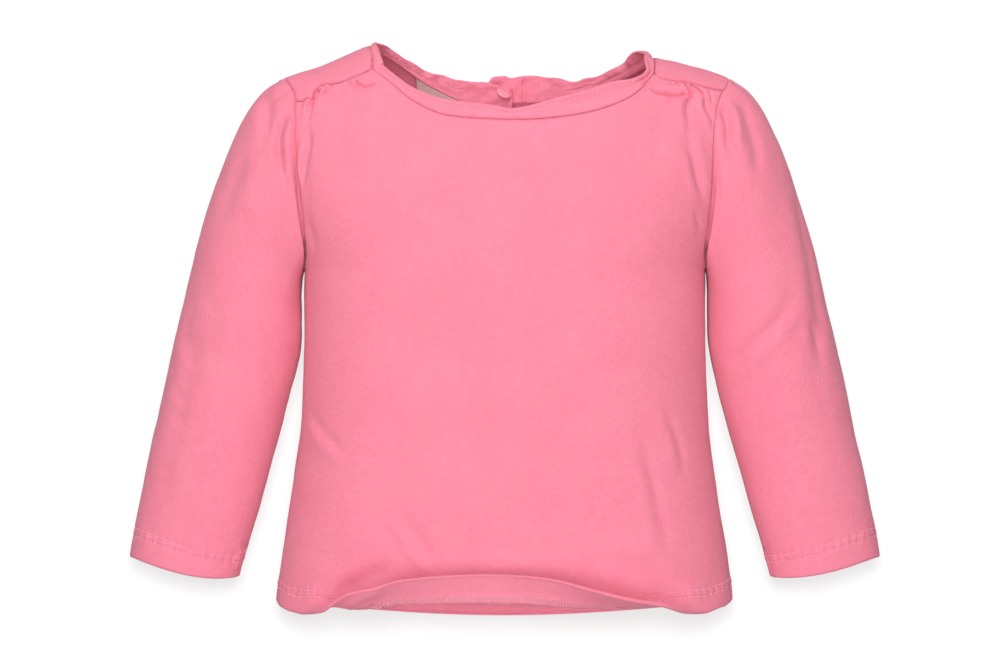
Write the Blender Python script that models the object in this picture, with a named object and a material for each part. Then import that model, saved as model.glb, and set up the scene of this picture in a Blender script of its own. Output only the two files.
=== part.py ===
"""Baby blouse: jersey panels as closed walls, filled out with no wearer inside.

Sizes are in millimetres and become metres when a mesh is made. The front faces -Y, +Z is up, and
the origin is midway between the two shoulder crests at the neck. Left and right are the viewer's.
"""

import math

import bpy
import numpy as np

MM = 0.001  # metres in a millimetre
TINY = 1e-9  # sets the slit's two sides apart

# Cloth
CLOTH = 1.2  # wall of the panels
HEM_CLOTH = 2.0  # wall where a hem is turned up
BAND_CLOTH = 2.0  # wall of the folded neckband
SEAM_GAP = 0.3  # clear space between sewn pieces
SLEEVE_STEP = 0.45  # how far a sleeve stands off its armhole
HEM_DEPTH = 13.0  # how far the body hem is turned up
CUFF_DEPTH = 12.0  # the same for a sleeve

# Body
CHEST = -113.0  # height of the underarm
HEM_SIDE = -289.0  # height of the hem at the side seams
HEM_DIP = 10.7  # how much lower the hem hangs at the centre
ROUNDNESS = 2.3  # 2 is an ellipse, more is squarer
CHEST_DEPTH = 58.0  # half of the body's depth at the underarm
HEM_ROLL = 1.6  # radius of the roll where the front hem curls up
CURL_ZONE = 32.0  # length of cloth above the hem edge that may curl
SLIT_DEPTH = 70.0  # length of the opening down the centre back
SLIT_PLACE = 4.5  # the opening's distance from the centre, to the right
SLIT_HALF = 0.4  # half of the opening's width

# Grids
NECK_COLUMNS = 8  # columns from the centre to the neck point
SHOULDER_COLUMNS = 6  # columns along the shoulder seam
BODY_ROWS = 5  # rows between the hem zone and the underarm
CHEST_ROWS = 10  # rows from the underarm up the front
BACK_ROWS = 14  # rows from the underarm up the back and over the shoulder

# Fastener and label
SNAP_RADIUS = 4.3
SNAP_HEIGHT = 1.5
LABEL_CLOTH = 1.0
LABEL_DEPTH = 24.0

PINK = (0.93, 0.28, 0.40)
PALE_PINK = (0.95, 0.50, 0.62)
TAUPE = (0.42, 0.27, 0.25)


def curve(at, knots, heights):
    """A smooth curve through (knots, heights), read at one place or an array of them."""
    step = np.diff(knots)
    slope = np.diff(heights) / step
    tangent = np.empty(len(knots))
    tangent[0], tangent[-1] = slope[0], slope[-1]
    tangent[1:-1] = (slope[:-1] * step[1:] + slope[1:] * step[:-1]) / (step[:-1] + step[1:])
    at = np.clip(at, knots[0], knots[-1])
    cell = np.clip(np.searchsorted(knots, at, side="right") - 1, 0, len(step) - 1)
    t = (at - knots[cell]) / step[cell]
    rise = heights[cell + 1] - heights[cell]
    start = tangent[cell] * step[cell]
    end = tangent[cell + 1] * step[cell]
    bend = 3 * rise - 2 * start - end
    return heights[cell] + start * t + bend * t**2 + (rise - start - bend) * t**3


class Table:
    """Rows of numbers under named columns, read as smooth curves along the first column."""

    def __init__(self, names, *rows):
        self.columns = dict(zip(names.split(), np.array(rows, float).T))
        self.key = next(iter(self.columns.values()))

    def at(self, name, key):
        return curve(key, self.key, self.columns[name])


# Half width and half depth of the body from the hem up to the underarm.
BODY = Table(
    "z half_width half_depth",
    (-304, 123.2, 54.0),
    (-288, 120.8, 54.5),
    (-272, 118.8, 55.0),
    (-256, 116.3, 55.5),
    (-240, 114.0, 56.0),
    (-224, 111.8, 56.5),
    (-208, 109.6, 57.0),
    (-192, 107.8, 57.5),
    (-170, 106.7, 58.0),
    (-113, 106.0, CHEST_DEPTH),
)

# Height of the shoulder's crest at each distance from the centre.
CREST = Table(
    "x z",
    (0, 10.0),
    (40, 8.0),
    (72, 3.0),
    (88, -1.6),
    (98, -4.7),
    (110, -8.2),
    (118, -11.3),
    (136, -20.0),
)

# The armhole by the angle over the shoulder, 0 at the underarm and 90 on the crest: the half width
# that the body would have with no sleeve, and where the seam lies on the left and on the right.
ARMHOLE = Table(
    "turn half_width left right",
    (0, 106.0, 106.0, 106.0),
    (4.5, 108.5, 104.0, 104.9),
    (12, 114.0, 105.0, 106.4),
    (21, 120.5, 107.0, 108.0),
    (32, 127.0, 109.0, 109.0),
    (41, 130.0, 110.0, 109.8),
    (53, 132.0, 110.6, 111.4),
    (63, 133.0, 111.0, 114.0),
    (71, 134.0, 113.5, 117.0),
    (90, 136.0, 118.0, 118.6),
)

# Neckline, from the centre out to where the forward shoulder seam starts. The back's goes over the
# crest, so its rows past the crest are given as angles over the shoulder.
NECK_FRONT = Table(
    "place left_x left_z right_x right_z",
    (0.00, 0.0, -35.4, 0.0, -35.4),
    (0.20, 20.0, -34.3, 20.0, -34.9),
    (0.42, 36.0, -31.3, 41.0, -32.0),
    (0.62, 49.5, -24.0, 56.0, -27.6),
    (0.82, 61.0, -14.0, 69.5, -20.5),
    (1.00, 69.5, -7.5, 79.0, -9.8),
)
NECK_BACK = Table(
    "place left_x left_turn right_x right_turn",
    (0.00, -4.1, 46.3, 4.9, 49.7),
    (0.22, 19.0, 50.0, 24.0, 50.4),
    (0.42, 36.0, 55.6, 41.0, 53.8),
    (0.60, 51.0, 64.0, 57.0, 59.6),
    (0.76, 64.0, 77.5, 71.5, 71.0),
    (0.88, 72.0, 92.0, 79.5, 88.0),
    (1.00, 69.5, 115.0, 79.0, 113.0),
)

# Forward shoulder seam, from the neckline out to the armhole.
SHOULDER_SEAM = Table(
    "place left_x left_z right_x right_z",
    (0.0, 69.5, -7.5, 79.0, -9.8),
    (0.25, 79.5, -11.2, 87.5, -12.4),
    (0.5, 89.0, -13.2, 97.0, -13.8),
    (0.75, 99.5, -15.2, 107.0, -15.4),
    (1.0, 110.8, -20.6, 116.5, -18.2),
)

# The front hem's curl across the body, -1 and 1 at the side seams: the angle that its edge has
# turned, and the length of cloth below the roll.
CURL = Table(
    "across angle length",
    (-1.00, 0, 4.0),
    (-0.88, 0, 4.0),
    (-0.81, 35, 5.0),
    (-0.75, 90, 7.0),
    (-0.67, 122, 9.6),
    (-0.55, 140, 12.8),
    (-0.38, 152, 15.5),
    (-0.20, 160, 16.6),
    (0.00, 162, 17.0),
    (0.20, 152, 16.6),
    (0.35, 132, 15.5),
    (0.50, 114, 13.5),
    (0.62, 92, 11.0),
    (0.72, 55, 8.0),
    (0.80, 18, 5.0),
    (0.88, 0, 4.0),
    (1.00, 0, 4.0),
)

# A sleeve's sections: where each crosses its outer and inner edge, half of its depth, and how much
# lower it hangs in front and behind.
SLEEVE = Table(
    "station outer_x outer_z inner_x inner_z half_depth sag",
    (0, 118.4, -11.3, 106.5, -113.0, 29.6, 0.0),
    (1, 128.6, -18.6, 107.2, -116.5, 30.6, 0.0),
    (2, 137.8, -31.5, 107.3, -120.0, 31.2, 0.0),
    (3, 146.3, -49.3, 107.4, -124.5, 31.2, 0.0),
    (4, 153.8, -70.5, 107.4, -131.0, 30.8, 0.0),
    (5, 160.6, -91.7, 107.5, -140.0, 30.0, 0.0),
    (6, 166.2, -113.0, 107.9, -153.0, 29.0, 0.0),
    (7, 171.3, -135.5, 111.2, -170.5, 27.6, 0.0),
    (8, 176.9, -159.5, 116.2, -189.5, 26.0, 0.0),
    (9, 182.8, -186.0, 122.7, -212.5, 24.0, 0.0),
    (10, 188.8, -213.0, 129.3, -236.5, 22.0, 0.0),
    (11, 194.4, -240.0, 135.6, -257.5, 20.0, 1.6),
    (12, 198.6, -265.0, 141.0, -275.5, 18.5, 4.0),
)
CAP_STATIONS = 6  # stations over which the armhole's shape turns into a plain section

# Gathers as soft troughs. Across is the angle around the sleeve's head from its top, to the front,
# or the place along the shoulder seam from the neck; reach is how far down the cloth they run.
HEAD_GATHERS = (
    # across, width, depth, reach
    (-62, 9.0, 1.2, 3.0),
    (-30, 8.0, 1.0, 2.6),
    (8, 8.0, 1.1, 2.4),
    (38, 9.0, 1.5, 3.4),
    (72, 10.0, 1.9, 4.2),
)
SHOULDER_GATHERS = (
    # across, width, depth, reach
    (0.40, 0.07, 1.3, 0.35),
    (0.66, 0.07, 1.8, 0.60),
    (0.92, 0.06, 1.2, 0.45),
)

# The neckband's height and its lean to the inside, along the strip from its left end at the
# centre back, round the left neck point, the centre front and the right neck point.
BAND = Table(
    "along height lean",
    (0.00, 7.6, 4),
    (0.05, 8.0, 4),
    (0.10, 6.2, 4),
    (0.15, 5.0, 8),
    (0.20, 5.4, 22),
    (0.25, 6.0, 38),
    (0.32, 7.6, 36),
    (0.40, 9.2, 26),
    (0.48, 7.8, 20),
    (0.54, 10.4, 22),
    (0.61, 12.2, 30),
    (0.67, 10.4, 44),
    (0.72, 8.0, 58),
    (0.77, 6.2, 48),
    (0.82, 5.4, 20),
    (0.87, 5.8, 6),
    (0.92, 8.6, 2),
    (0.96, 10.4, 0),
    (1.00, 9.6, 0),
)
BAND_ROWS = 3
# x and z of the strip's right end, past the slit
RIGHT_LAP = ((1.5, -18.9), (-2.0, -18.6), (-5.5, -18.4), (-9.3, -18.2))
LAP_STEP = 3.2  # how far the right end lies behind the left one
LAP_REACH = 26.0  # how far from the slit the two sides start to part
LAP_DEPTH = 45.0  # how far down they do


def side_column(side):
    return "left" if side < 0 else "right"


def ease_in(t):
    """0 below 0, 1 above 1, and smooth between."""
    t = np.clip(t, 0.0, 1.0)
    return t * t * (3 - 2 * t)


def fullness(across):
    """The share of its depth that the body keeps at this share of its half width."""
    return (1 - np.abs(np.clip(across, -1, 1)) ** ROUNDNESS) ** (1 / ROUNDNESS)


def lower_body(across, z, face):
    """A point below the underarm. Face is -1 on the front and 1 on the back."""
    return np.array([
        across * BODY.at("half_width", z),
        face * BODY.at("half_depth", z) * fullness(across),
        z,
    ])


def upper_body(across, turn):
    """A point above the underarm. Turn goes from 0 at the back over the crest to 180 in front."""
    fold = 90 - abs(90 - turn)
    x = across * ARMHOLE.at("half_width", fold)
    crest = CREST.at("z", abs(x))
    angle = math.radians(turn)
    return np.array([
        x,
        CHEST_DEPTH * fullness(across) * math.cos(angle),
        CHEST + (crest - CHEST) * math.sin(angle),
    ])


def upper_normal(across, turn):
    """The outward normal of the body above the underarm."""
    spread = math.asin(np.clip(across, -1, 1))
    step = 0.01
    low, high = np.clip([spread - step, spread + step], -math.pi / 2, math.pi / 2)
    sideways = upper_body(math.sin(high), turn) - upper_body(math.sin(low), turn)
    over = upper_body(across, min(turn + 0.5, 180)) - upper_body(across, max(turn - 0.5, 0))
    normal = np.cross(over, sideways)
    return normal / np.linalg.norm(normal)


def front_place(x, z):
    """(across, turn) of a point of the front that is given by its x and z."""
    share = (z - CHEST) / (CREST.at("z", abs(x)) - CHEST)
    turn = math.degrees(math.asin(min(share, 1.0)))
    return x / ARMHOLE.at("half_width", turn), 180 - turn


def turn_place(x, turn):
    """(across, turn) of a point that is given by its x and its angle over the shoulder."""
    return x / ARMHOLE.at("half_width", 90 - abs(90 - turn)), turn


def armhole_place(side, turn):
    """(across, turn) of the armhole's seam."""
    fold = 90 - abs(90 - turn)
    x = side * ARMHOLE.at(side_column(side), fold)
    return x / ARMHOLE.at("half_width", fold), turn


def path_shares(path):
    length = np.concatenate([[0], np.cumsum(np.linalg.norm(np.diff(path, axis=0), axis=1))])
    return length / length[-1]


def even_turns(side, start, end, count):
    """Angles that divide the armhole's seam between two angles into even lengths."""
    turns = np.linspace(start, end, 240)
    seam = np.array([upper_body(*armhole_place(side, turn)) for turn in turns])
    return np.interp(np.linspace(0, 1, count + 1), path_shares(seam), turns)


def column_places():
    """Columns from the left side seam to the right one: -1 to 1, with the neck points inside."""
    half = np.linspace(0, 1, NECK_COLUMNS + SHOULDER_COLUMNS + 1)
    return np.concatenate([-half[:0:-1], half])


NECK_POINT = NECK_COLUMNS / (NECK_COLUMNS + SHOULDER_COLUMNS)


def chest_across(place, panel):
    """Where a column lies at the underarm. The back's two middle ones are the edges of its slit."""
    across = math.sin(math.radians(90 * place))
    if panel == "front":
        return across
    side = -1 if place < 0 else 1
    beside_slit = max(1 - abs(place) * (NECK_COLUMNS + SHOULDER_COLUMNS), 0)
    return across + beside_slit * (SLIT_PLACE + side * SLIT_HALF) / ARMHOLE.at("half_width", 0)


def top_place(place, panel):
    """(across, turn) of a panel's top edge: its neckline, then the forward shoulder seam."""
    side = -1 if place < 0 else 1
    column = side_column(side)
    place = abs(place)
    if place > NECK_POINT:
        along = (place - NECK_POINT) / (1 - NECK_POINT)
        x = side * SHOULDER_SEAM.at(column + "_x", along)
        return front_place(x, SHOULDER_SEAM.at(column + "_z", along))
    along = place / NECK_POINT
    if panel == "front":
        x = side * NECK_FRONT.at(column + "_x", along)
        return front_place(x, NECK_FRONT.at(column + "_z", along))
    return turn_place(side * NECK_BACK.at(column + "_x", along), NECK_BACK.at(column + "_turn", along))


def upper_rows(columns, panel, rows):
    """The panel above the underarm: points and normals of a patch between chest, armholes and top."""
    chest_turn = 180.0 if panel == "front" else 0.0
    edges = {}
    for side in (-1, 1):
        top_turn = top_place(side, panel)[1]
        turns = even_turns(side, chest_turn, top_turn, rows)
        edges[side] = [armhole_place(side, turn) for turn in turns]
    grid = np.empty((rows, len(columns), 3))
    normals = np.empty_like(grid)
    for i, column in enumerate(columns):
        side = -1 if column < 0 else 1
        chest = math.asin(chest_across(column, panel))
        top_across, top_turn = top_place(column, panel)
        top = math.asin(top_across)
        for row in range(1, rows + 1):
            up = row / rows
            edge_across, edge_turn = edges[side][row]
            end_across, end_turn = edges[side][-1]
            end = math.asin(abs(end_across))
            narrowing = math.asin(abs(edge_across)) / (math.pi / 2 + up * (end - math.pi / 2))
            plain_turn = chest_turn + up * (end_turn - chest_turn)
            across = math.sin((chest + up * (top - chest)) * narrowing)
            turn = chest_turn + up * (top_turn - chest_turn)
            turn += (edge_turn - plain_turn) * abs(column) ** 4
            grid[row - 1, i] = upper_body(across, turn)
            normals[row - 1, i] = upper_normal(across, turn)
    return grid, normals


def hem_height(across):
    return HEM_SIDE - HEM_DIP * (1 - across**2)


def curl_offset(across, lengths):
    """How far out and up the front hem's cloth lies from its zone's top, by its length from the edge."""
    angle = max(CURL.at("angle", across), 0.0)
    centre = CURL.at("length", across)
    half = max(math.radians(angle) * HEM_ROLL / 2, 2.0)
    fine = np.linspace(CURL_ZONE, 0, 200)
    turned = math.radians(angle) * ease_in((centre + half - fine) / (2 * half))
    step = CURL_ZONE / 199
    out = np.cumsum(np.sin(turned)) * step
    up = -np.cumsum(np.cos(turned)) * step
    return np.interp(lengths, fine[::-1], out[::-1]), np.interp(lengths, fine[::-1], up[::-1])


def lower_rows(columns, panel, lengths):
    """Rows from the hem to the underarm. Lengths are those of the hem zone, measured from its edge."""
    grid = np.empty((len(lengths) + BODY_ROWS, len(columns), 3))
    face = -1 if panel == "front" else 1
    for i, column in enumerate(columns):
        across = chest_across(column, panel)
        hem = hem_height(across)
        zone_top = hem + CURL_ZONE
        if panel == "front":
            base = lower_body(across, zone_top, face)
            outward = np.array([across * 0.5, -1.0, 0.0])
            outward /= np.linalg.norm(outward)
            out, up = curl_offset(across, lengths)
            for row, length in enumerate(lengths):
                flare = lower_body(across, min(zone_top + up[row], zone_top), face) - base
                grid[row, i] = base + flare * [1, 1, 0] + outward * out[row] + [0, 0, up[row]]
        else:
            for row, length in enumerate(lengths):
                grid[row, i] = lower_body(across, hem + length, face)
        for row in range(1, BODY_ROWS + 1):
            z = zone_top + (CHEST - zone_top) * row / BODY_ROWS
            grid[len(lengths) + row - 1, i] = lower_body(across, z, face)
    return grid, grid_normals(grid, False)


def grid_normals(grid, wrap):
    """Unit normals of a grid of points: along the columns, crossed with along the rows."""
    if wrap:
        along = np.roll(grid, -1, axis=1) - np.roll(grid, 1, axis=1)
    else:
        along = np.gradient(grid, axis=1, edge_order=2)
    normals = np.cross(along, np.gradient(grid, axis=0, edge_order=2))
    return normals / np.linalg.norm(normals, axis=2, keepdims=True)


def pull_back(grid, rows=(), sides=False):
    """Pulls edges of a grid back along the cloth by half of a seam's gap."""
    grid = grid.copy()
    edges = [(grid[row], grid[1 if row == 0 else -2]) for row in rows]
    if sides:
        edges += [(grid[:, 0], grid[:, 1]), (grid[:, -1], grid[:, -2])]
    for edge, inside in edges:
        step = inside - edge
        edge += step / np.linalg.norm(step, axis=1, keepdims=True) * SEAM_GAP * 0.55
    return grid


def fabric(name, colour, roughness):
    """A plain Principled material."""
    material = bpy.data.materials.new(name)
    material.use_nodes = True
    shader = material.node_tree.nodes["Principled BSDF"]
    shader.inputs["Base Color"].default_value = (*colour, 1)
    shader.inputs["Roughness"].default_value = roughness
    shader.inputs["Metallic"].default_value = 0.0
    material.diffuse_color = (*colour, 1)
    return material


def add_mesh(name, points, faces, material):
    """A mesh object from points in millimetres."""
    mesh = bpy.data.meshes.new(name)
    mesh.from_pydata((np.asarray(points) * MM).tolist(), [], faces)
    mesh.materials.append(material)
    made = bpy.data.objects.new(name, mesh)
    bpy.context.scene.collection.objects.link(made)
    return made


def add_wall(name, outer, inner, material, wrap=False, left_out=None):
    """A closed wall between two grids. Cells for which left_out(row, column) is true stay open."""
    rows, columns = outer.shape[:2]
    spans = columns if wrap else columns - 1
    kept = {
        (row, column)
        for row in range(rows - 1)
        for column in range(spans)
        if not (left_out and left_out(row, column))
    }

    def corner(row, column, layer):
        return layer * rows * columns + row * columns + column % columns

    faces = []
    for row, column in sorted(kept):
        ring = [(row, column), (row, column + 1), (row + 1, column + 1), (row + 1, column)]
        faces.append([corner(r, c, 0) for r, c in ring])
        faces.append([corner(r, c, 1) for r, c in reversed(ring)])
        beside = [(row - 1, column), (row, column + 1), (row + 1, column), (row, column - 1)]
        for k, (r, c) in enumerate(beside):
            if (r, c % spans if wrap else c) not in kept:
                a, b = ring[k], ring[(k + 1) % 4]
                faces.append([corner(*b, 0), corner(*a, 0), corner(*a, 1), corner(*b, 1)])
    points = np.concatenate([outer.reshape(-1, 3), inner.reshape(-1, 3)])
    used = sorted({index for face in faces for index in face})
    new = {index: i for i, index in enumerate(used)}
    return add_mesh(name, points[used], [[new[i] for i in face] for face in faces], material)


def hem_walls(lengths, rows):
    """The wall's thickness in each row: turned up in the hem, single above it."""
    walls = np.full(rows, CLOTH)
    walls[: len(lengths)][np.asarray(lengths) <= HEM_DEPTH] = HEM_CLOTH
    return walls[:, None, None]


def gather(grid, normals, columns):
    """Presses the soft troughs of the shoulder gathers into the front's upper rows."""
    first = len(grid) - CHEST_ROWS
    for i, column in enumerate(columns):
        along = (abs(column) - NECK_POINT) / (1 - NECK_POINT)
        for row in range(first, len(grid) - 1):
            down = 1 - (row + 1 - first) / CHEST_ROWS
            for across, width, depth, reach in SHOULDER_GATHERS:
                trough = math.exp(-(((along - across) / (2 * width)) ** 2))
                grid[row, i] -= normals[row, i] * depth * trough * (1 - ease_in(down / reach))
    return grid


def panel_surface(panel, columns, lengths, rows):
    """A panel's outer surface and its normals, from the hem up."""
    below, below_normals = lower_rows(columns, panel, np.array(lengths, float))
    above, above_normals = upper_rows(columns, panel, rows)
    return np.concatenate([below, above]), np.concatenate([below_normals, above_normals])


def front_grid():
    """The front's outer surface, its normals and its walls."""
    lengths = (0, 3, 6.5, 10, 12.9, 13.3, 15, 17, 19, 21.5, 25, CURL_ZONE)
    columns = column_places()
    grid, normals = panel_surface("front", columns, lengths, CHEST_ROWS)
    return gather(grid, normals, columns), normals, hem_walls(lengths, len(grid))


def back_grid():
    """The back's outer surface, its normals and its walls, its columns from right to left."""
    lengths = (0, 6, 12.9, 13.3, CURL_ZONE)
    columns = column_places()
    middle = len(columns) // 2
    columns = np.concatenate([columns[:middle], [-TINY, TINY], columns[middle + 1:]])[::-1]
    grid, normals = panel_surface("back", columns, lengths, BACK_ROWS)
    near = 1 - ease_in(np.abs(grid[..., 0] - SLIT_PLACE) / LAP_REACH)
    high = 1 - ease_in((grid[-1, middle, 2] - grid[..., 2]) / LAP_DEPTH)
    grid[..., 1] += np.sign(grid[..., 0] - SLIT_PLACE) * LAP_STEP / 2 * near * high
    return grid, normals, hem_walls(lengths, len(grid))


def add_front(material):
    grid, normals, walls = front_grid()
    outer = pull_back(grid, rows=(-1,), sides=True)
    return add_wall("front_panel", outer, outer - normals * walls, material)


def add_back(material):
    """The back, with a slit down from the neckline at its centre."""
    grid, normals, walls = back_grid()
    outer = pull_back(grid, rows=(-1,), sides=True)
    middle = grid.shape[1] // 2 - 1
    slit_end = grid[-1, middle, 2] - SLIT_DEPTH

    def in_slit(row, column):
        return column == middle and grid[row, middle, 2] > slit_end

    return add_wall("back_panel", outer, outer - normals * walls, material, left_out=in_slit)


def spoke_turns(side):
    """Where the sleeve's columns leave the armhole: at the ends of the panels' rows, so that they meet."""
    top_turn = top_place(side, "front")[1]
    front = even_turns(side, top_turn, 180, CHEST_ROWS)
    back = even_turns(side, 0, top_turn, BACK_ROWS)
    return np.concatenate([front[:-1], back[:-1]])


def spoke_angles(side, turns):
    """The angle around the sleeve's first section of each place on the armhole, 0 at the crest."""
    half = np.linspace(0, 180, 181)
    tall = (SLEEVE.at("outer_z", 0) - SLEEVE.at("inner_z", 0)) / 2
    section = np.stack([
        np.cos(np.radians(half)) * tall,
        np.sin(np.radians(half)) * SLEEVE.at("half_depth", 0),
    ], axis=1)
    shares = path_shares(section)
    angles = np.empty(len(turns))
    for i, turn in enumerate(turns):
        to_front = turn >= 90 and i < CHEST_ROWS
        dense = even_turns(side, 90, 180 if to_front else 0, 90)
        share = np.interp(abs(turn - 90), np.abs(dense - 90), np.linspace(0, 1, len(dense)))
        angle = np.interp(share, shares, half)
        angles[i] = angle if to_front else 360 - angle
        if turn > 90 and not to_front:
            angles[i] = 360 + np.interp((turn - 90) / 90, shares, half)
    return angles


def head_trough(angle, station):
    """Depth of the sleeve head's gathers at this angle and station."""
    deep = 0.0
    for across, width, depth, reach in HEAD_GATHERS:
        apart = (angle - across + 180) % 360 - 180
        start = ease_in(station / 0.8)
        deep += depth * math.exp(-((apart / (1.4 * width)) ** 2)) * start * (1 - ease_in(station / reach))
    return deep


def sleeve_grid(side, stations):
    """A sleeve's outer surface: a row for each station, a column for each spoke."""
    turns = spoke_turns(side)
    angles = spoke_angles(side, turns)
    armhole = np.array([upper_body(*armhole_place(side, turn)) for turn in turns])
    armhole += [side * SLEEVE_STEP, 0, 0]
    around = np.radians(angles)

    def section(station):
        outer = np.array([SLEEVE.at("outer_x", station), 0, SLEEVE.at("outer_z", station)])
        inner = np.array([SLEEVE.at("inner_x", station), 0, SLEEVE.at("inner_z", station)])
        depth = np.array([0, -SLEEVE.at("half_depth", station), 0])
        ring = (outer + inner) / 2 + np.outer(np.cos(around), (outer - inner) / 2)
        ring += np.outer(np.sin(around), depth)
        ring[:, 2] -= SLEEVE.at("sag", station) * np.sin(around) ** 2
        return ring * [side, 1, 1]

    change = armhole - section(0)
    grid = np.array([section(s) + change * (1 - ease_in(s / CAP_STATIONS)) for s in stations])
    centres = grid.mean(axis=1, keepdims=True)
    for row, station in enumerate(stations):
        for column, angle in enumerate(angles):
            inward = centres[row, 0] - grid[row, column]
            inward /= np.linalg.norm(inward)
            grid[row, column] += inward * head_trough(angle, station)
    return grid


def add_sleeve(name, side, material):
    """A sleeve from its armhole to its cuff."""
    hem = CUFF_DEPTH / 24.0
    stations = np.array([0, 0.5, 1, 1.6, 2.3, 3, 4, 5, 6, 7.5, 9, 10.4, 12 - hem - 0.03, 12 - hem, 12])
    grid = sleeve_grid(side, stations)
    normals = grid_normals(grid, True) * side
    walls = np.where(stations > 12 - hem - 0.01, HEM_CLOTH, CLOTH)[:, None, None]
    inward = -normals * walls
    toward_body = inward[0, :, 0] * side < 0
    inward[0, toward_body, 0] = 0
    if side < 0:
        grid, inward = grid[:, ::-1], inward[:, ::-1]
    return add_wall(name, grid, grid + inward, material, wrap=True)


def band_path():
    """Points of the neckband's seam, from its left end at the back round to its right end."""
    front = front_grid()[0][-1]
    back = back_grid()[0][-1][::-1]
    middle = len(back) // 2
    left, right = back[SHOULDER_COLUMNS:middle][::-1], back[middle:-SHOULDER_COLUMNS]
    across = front[SHOULDER_COLUMNS + 1:-SHOULDER_COLUMNS - 1]
    right = right[::-1]
    end = [(x, right[-1, 1], z) for x, z in RIGHT_LAP]
    return np.concatenate([left, across, right, end])


def band_grid():
    """The neckband's outer surface, its rows from the seam up."""
    path = band_path()
    shares = path_shares(path)
    along = np.gradient(path, axis=0)
    along[:, 2] = 0
    along /= np.linalg.norm(along, axis=1, keepdims=True)
    inward = np.stack([-along[:, 1], along[:, 0], np.zeros(len(path))], axis=1)
    lean = np.radians(BAND.at("lean", shares))[:, None]
    rise = inward * np.sin(lean) + np.array([0, 0, 1]) * np.cos(lean)
    height = BAND.at("height", shares)[:, None]
    rows = np.linspace(0, 1, BAND_ROWS + 1)
    return np.array([path + rise * (SEAM_GAP + (height - SEAM_GAP) * row) for row in rows])


def add_band(material):
    grid = band_grid()
    normals = grid_normals(grid, False)
    return add_wall("neckband", grid, grid - normals * BAND_CLOTH, material)


def add_label(material):
    """A blank label on the inside of the left back, just below the neckband's seam."""
    columns = np.linspace(-0.30, -0.10, 6) * 2
    top = [np.array(top_place(column * NECK_POINT * 1.15, "back")) for column in columns[::-1]]
    rows = []
    for down in np.linspace(LABEL_DEPTH, 2.0, 5):
        rows.append([upper_body(across, turn - math.degrees(down / 105)) for across, turn in top])
    grid = np.array(rows)
    normals = grid_normals(grid, False)
    outer = grid - normals * (CLOTH + 2 * SEAM_GAP)
    return add_wall("neck_label", outer, outer - normals * LABEL_CLOTH, material)


def add_snap(name, centre, facing, material):
    """A round, slightly domed cap whose back lies at centre and which faces along the given direction."""
    facing = facing / np.linalg.norm(facing)
    sideways = np.cross(facing, [0, 0, 1])
    sideways /= np.linalg.norm(sideways)
    upward = np.cross(facing, sideways)
    turns = np.linspace(0, 2 * math.pi, 20, endpoint=False)
    rings = []
    for radius, height in ((1.0, 0.0), (1.0, 0.45), (0.82, 0.85), (0.45, 1.0)):
        circle = np.outer(np.cos(turns), sideways) + np.outer(np.sin(turns), upward)
        rings.append(centre + circle * SNAP_RADIUS * radius + facing * SNAP_HEIGHT * height)
    points = np.concatenate(rings)
    count = len(turns)
    faces = [list(range(count))[::-1], [3 * count + k for k in range(count)]]
    for ring in range(3):
        for k in range(count):
            a, b = ring * count + k, ring * count + (k + 1) % count
            faces.append([a, b, b + count, a + count])
    return add_mesh(name, points, faces, material)


def add_snaps(material):
    """The two caps of the snap that holds the neckband's lapped ends together."""
    grid = band_grid()
    normals = grid_normals(grid, False)
    left_end = (grid[1, 1] + grid[2, 1]) / 2
    left_normal = normals[1, 1]
    clear = SEAM_GAP * 1.5
    inside = left_end - left_normal * (BAND_CLOTH + clear)
    right_end = (grid[1, -2] + grid[2, -2]) / 2 + [3.0, 0, 0]
    right_normal = normals[1, -2]
    outside = right_end + right_normal * clear
    return (
        add_snap("snap_cap_inside", inside, -left_normal, material),
        add_snap("snap_cap_outside", outside, right_normal, material),
    )


def main():
    for thing in list(bpy.data.objects):
        bpy.data.objects.remove(thing, do_unlink=True)
    pink = fabric("pink_jersey", PINK, 0.9)
    taupe = fabric("taupe_label", TAUPE, 0.85)
    cap = fabric("pale_pink_plastic", PALE_PINK, 0.3)
    add_front(pink)
    add_back(pink)
    add_sleeve("sleeve_left", -1, pink)
    add_sleeve("sleeve_right", 1, pink)
    add_band(pink)
    add_label(taupe)
    add_snaps(cap)


main()
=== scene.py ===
"""Looks of a hollow baby blouse: jersey panels, sleeves, neckband, label, snap and stitching.

Sizes are in millimetres and become metres when a mesh is made. The front faces -Y, +Z is up, and
the origin is midway between the two shoulder crests at the neck. Left and right are the viewer's.
"""

import logging
import math
from collections.abc import Callable
from dataclasses import dataclass, field
from enum import Enum

import bpy
import numpy as np
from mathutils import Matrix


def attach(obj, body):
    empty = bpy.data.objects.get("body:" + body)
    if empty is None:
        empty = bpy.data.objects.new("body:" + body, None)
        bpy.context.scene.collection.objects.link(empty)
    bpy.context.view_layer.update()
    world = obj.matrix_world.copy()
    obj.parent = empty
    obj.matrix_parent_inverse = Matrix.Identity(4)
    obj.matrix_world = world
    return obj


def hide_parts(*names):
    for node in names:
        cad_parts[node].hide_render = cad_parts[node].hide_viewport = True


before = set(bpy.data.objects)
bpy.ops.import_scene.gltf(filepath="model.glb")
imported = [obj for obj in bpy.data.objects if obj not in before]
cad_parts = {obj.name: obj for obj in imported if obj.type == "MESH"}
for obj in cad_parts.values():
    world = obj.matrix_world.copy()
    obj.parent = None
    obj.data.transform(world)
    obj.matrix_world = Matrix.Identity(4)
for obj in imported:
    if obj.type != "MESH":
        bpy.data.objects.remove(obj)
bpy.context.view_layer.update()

log = logging.getLogger("blouse")
Array = np.ndarray
Point = tuple[float, float, float]
Locate = Callable[[Array, Array], Array]
Value = float | tuple[float, ...] | bpy.types.NodeSocket
MM = 0.001
TINY = 1e-9
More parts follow.
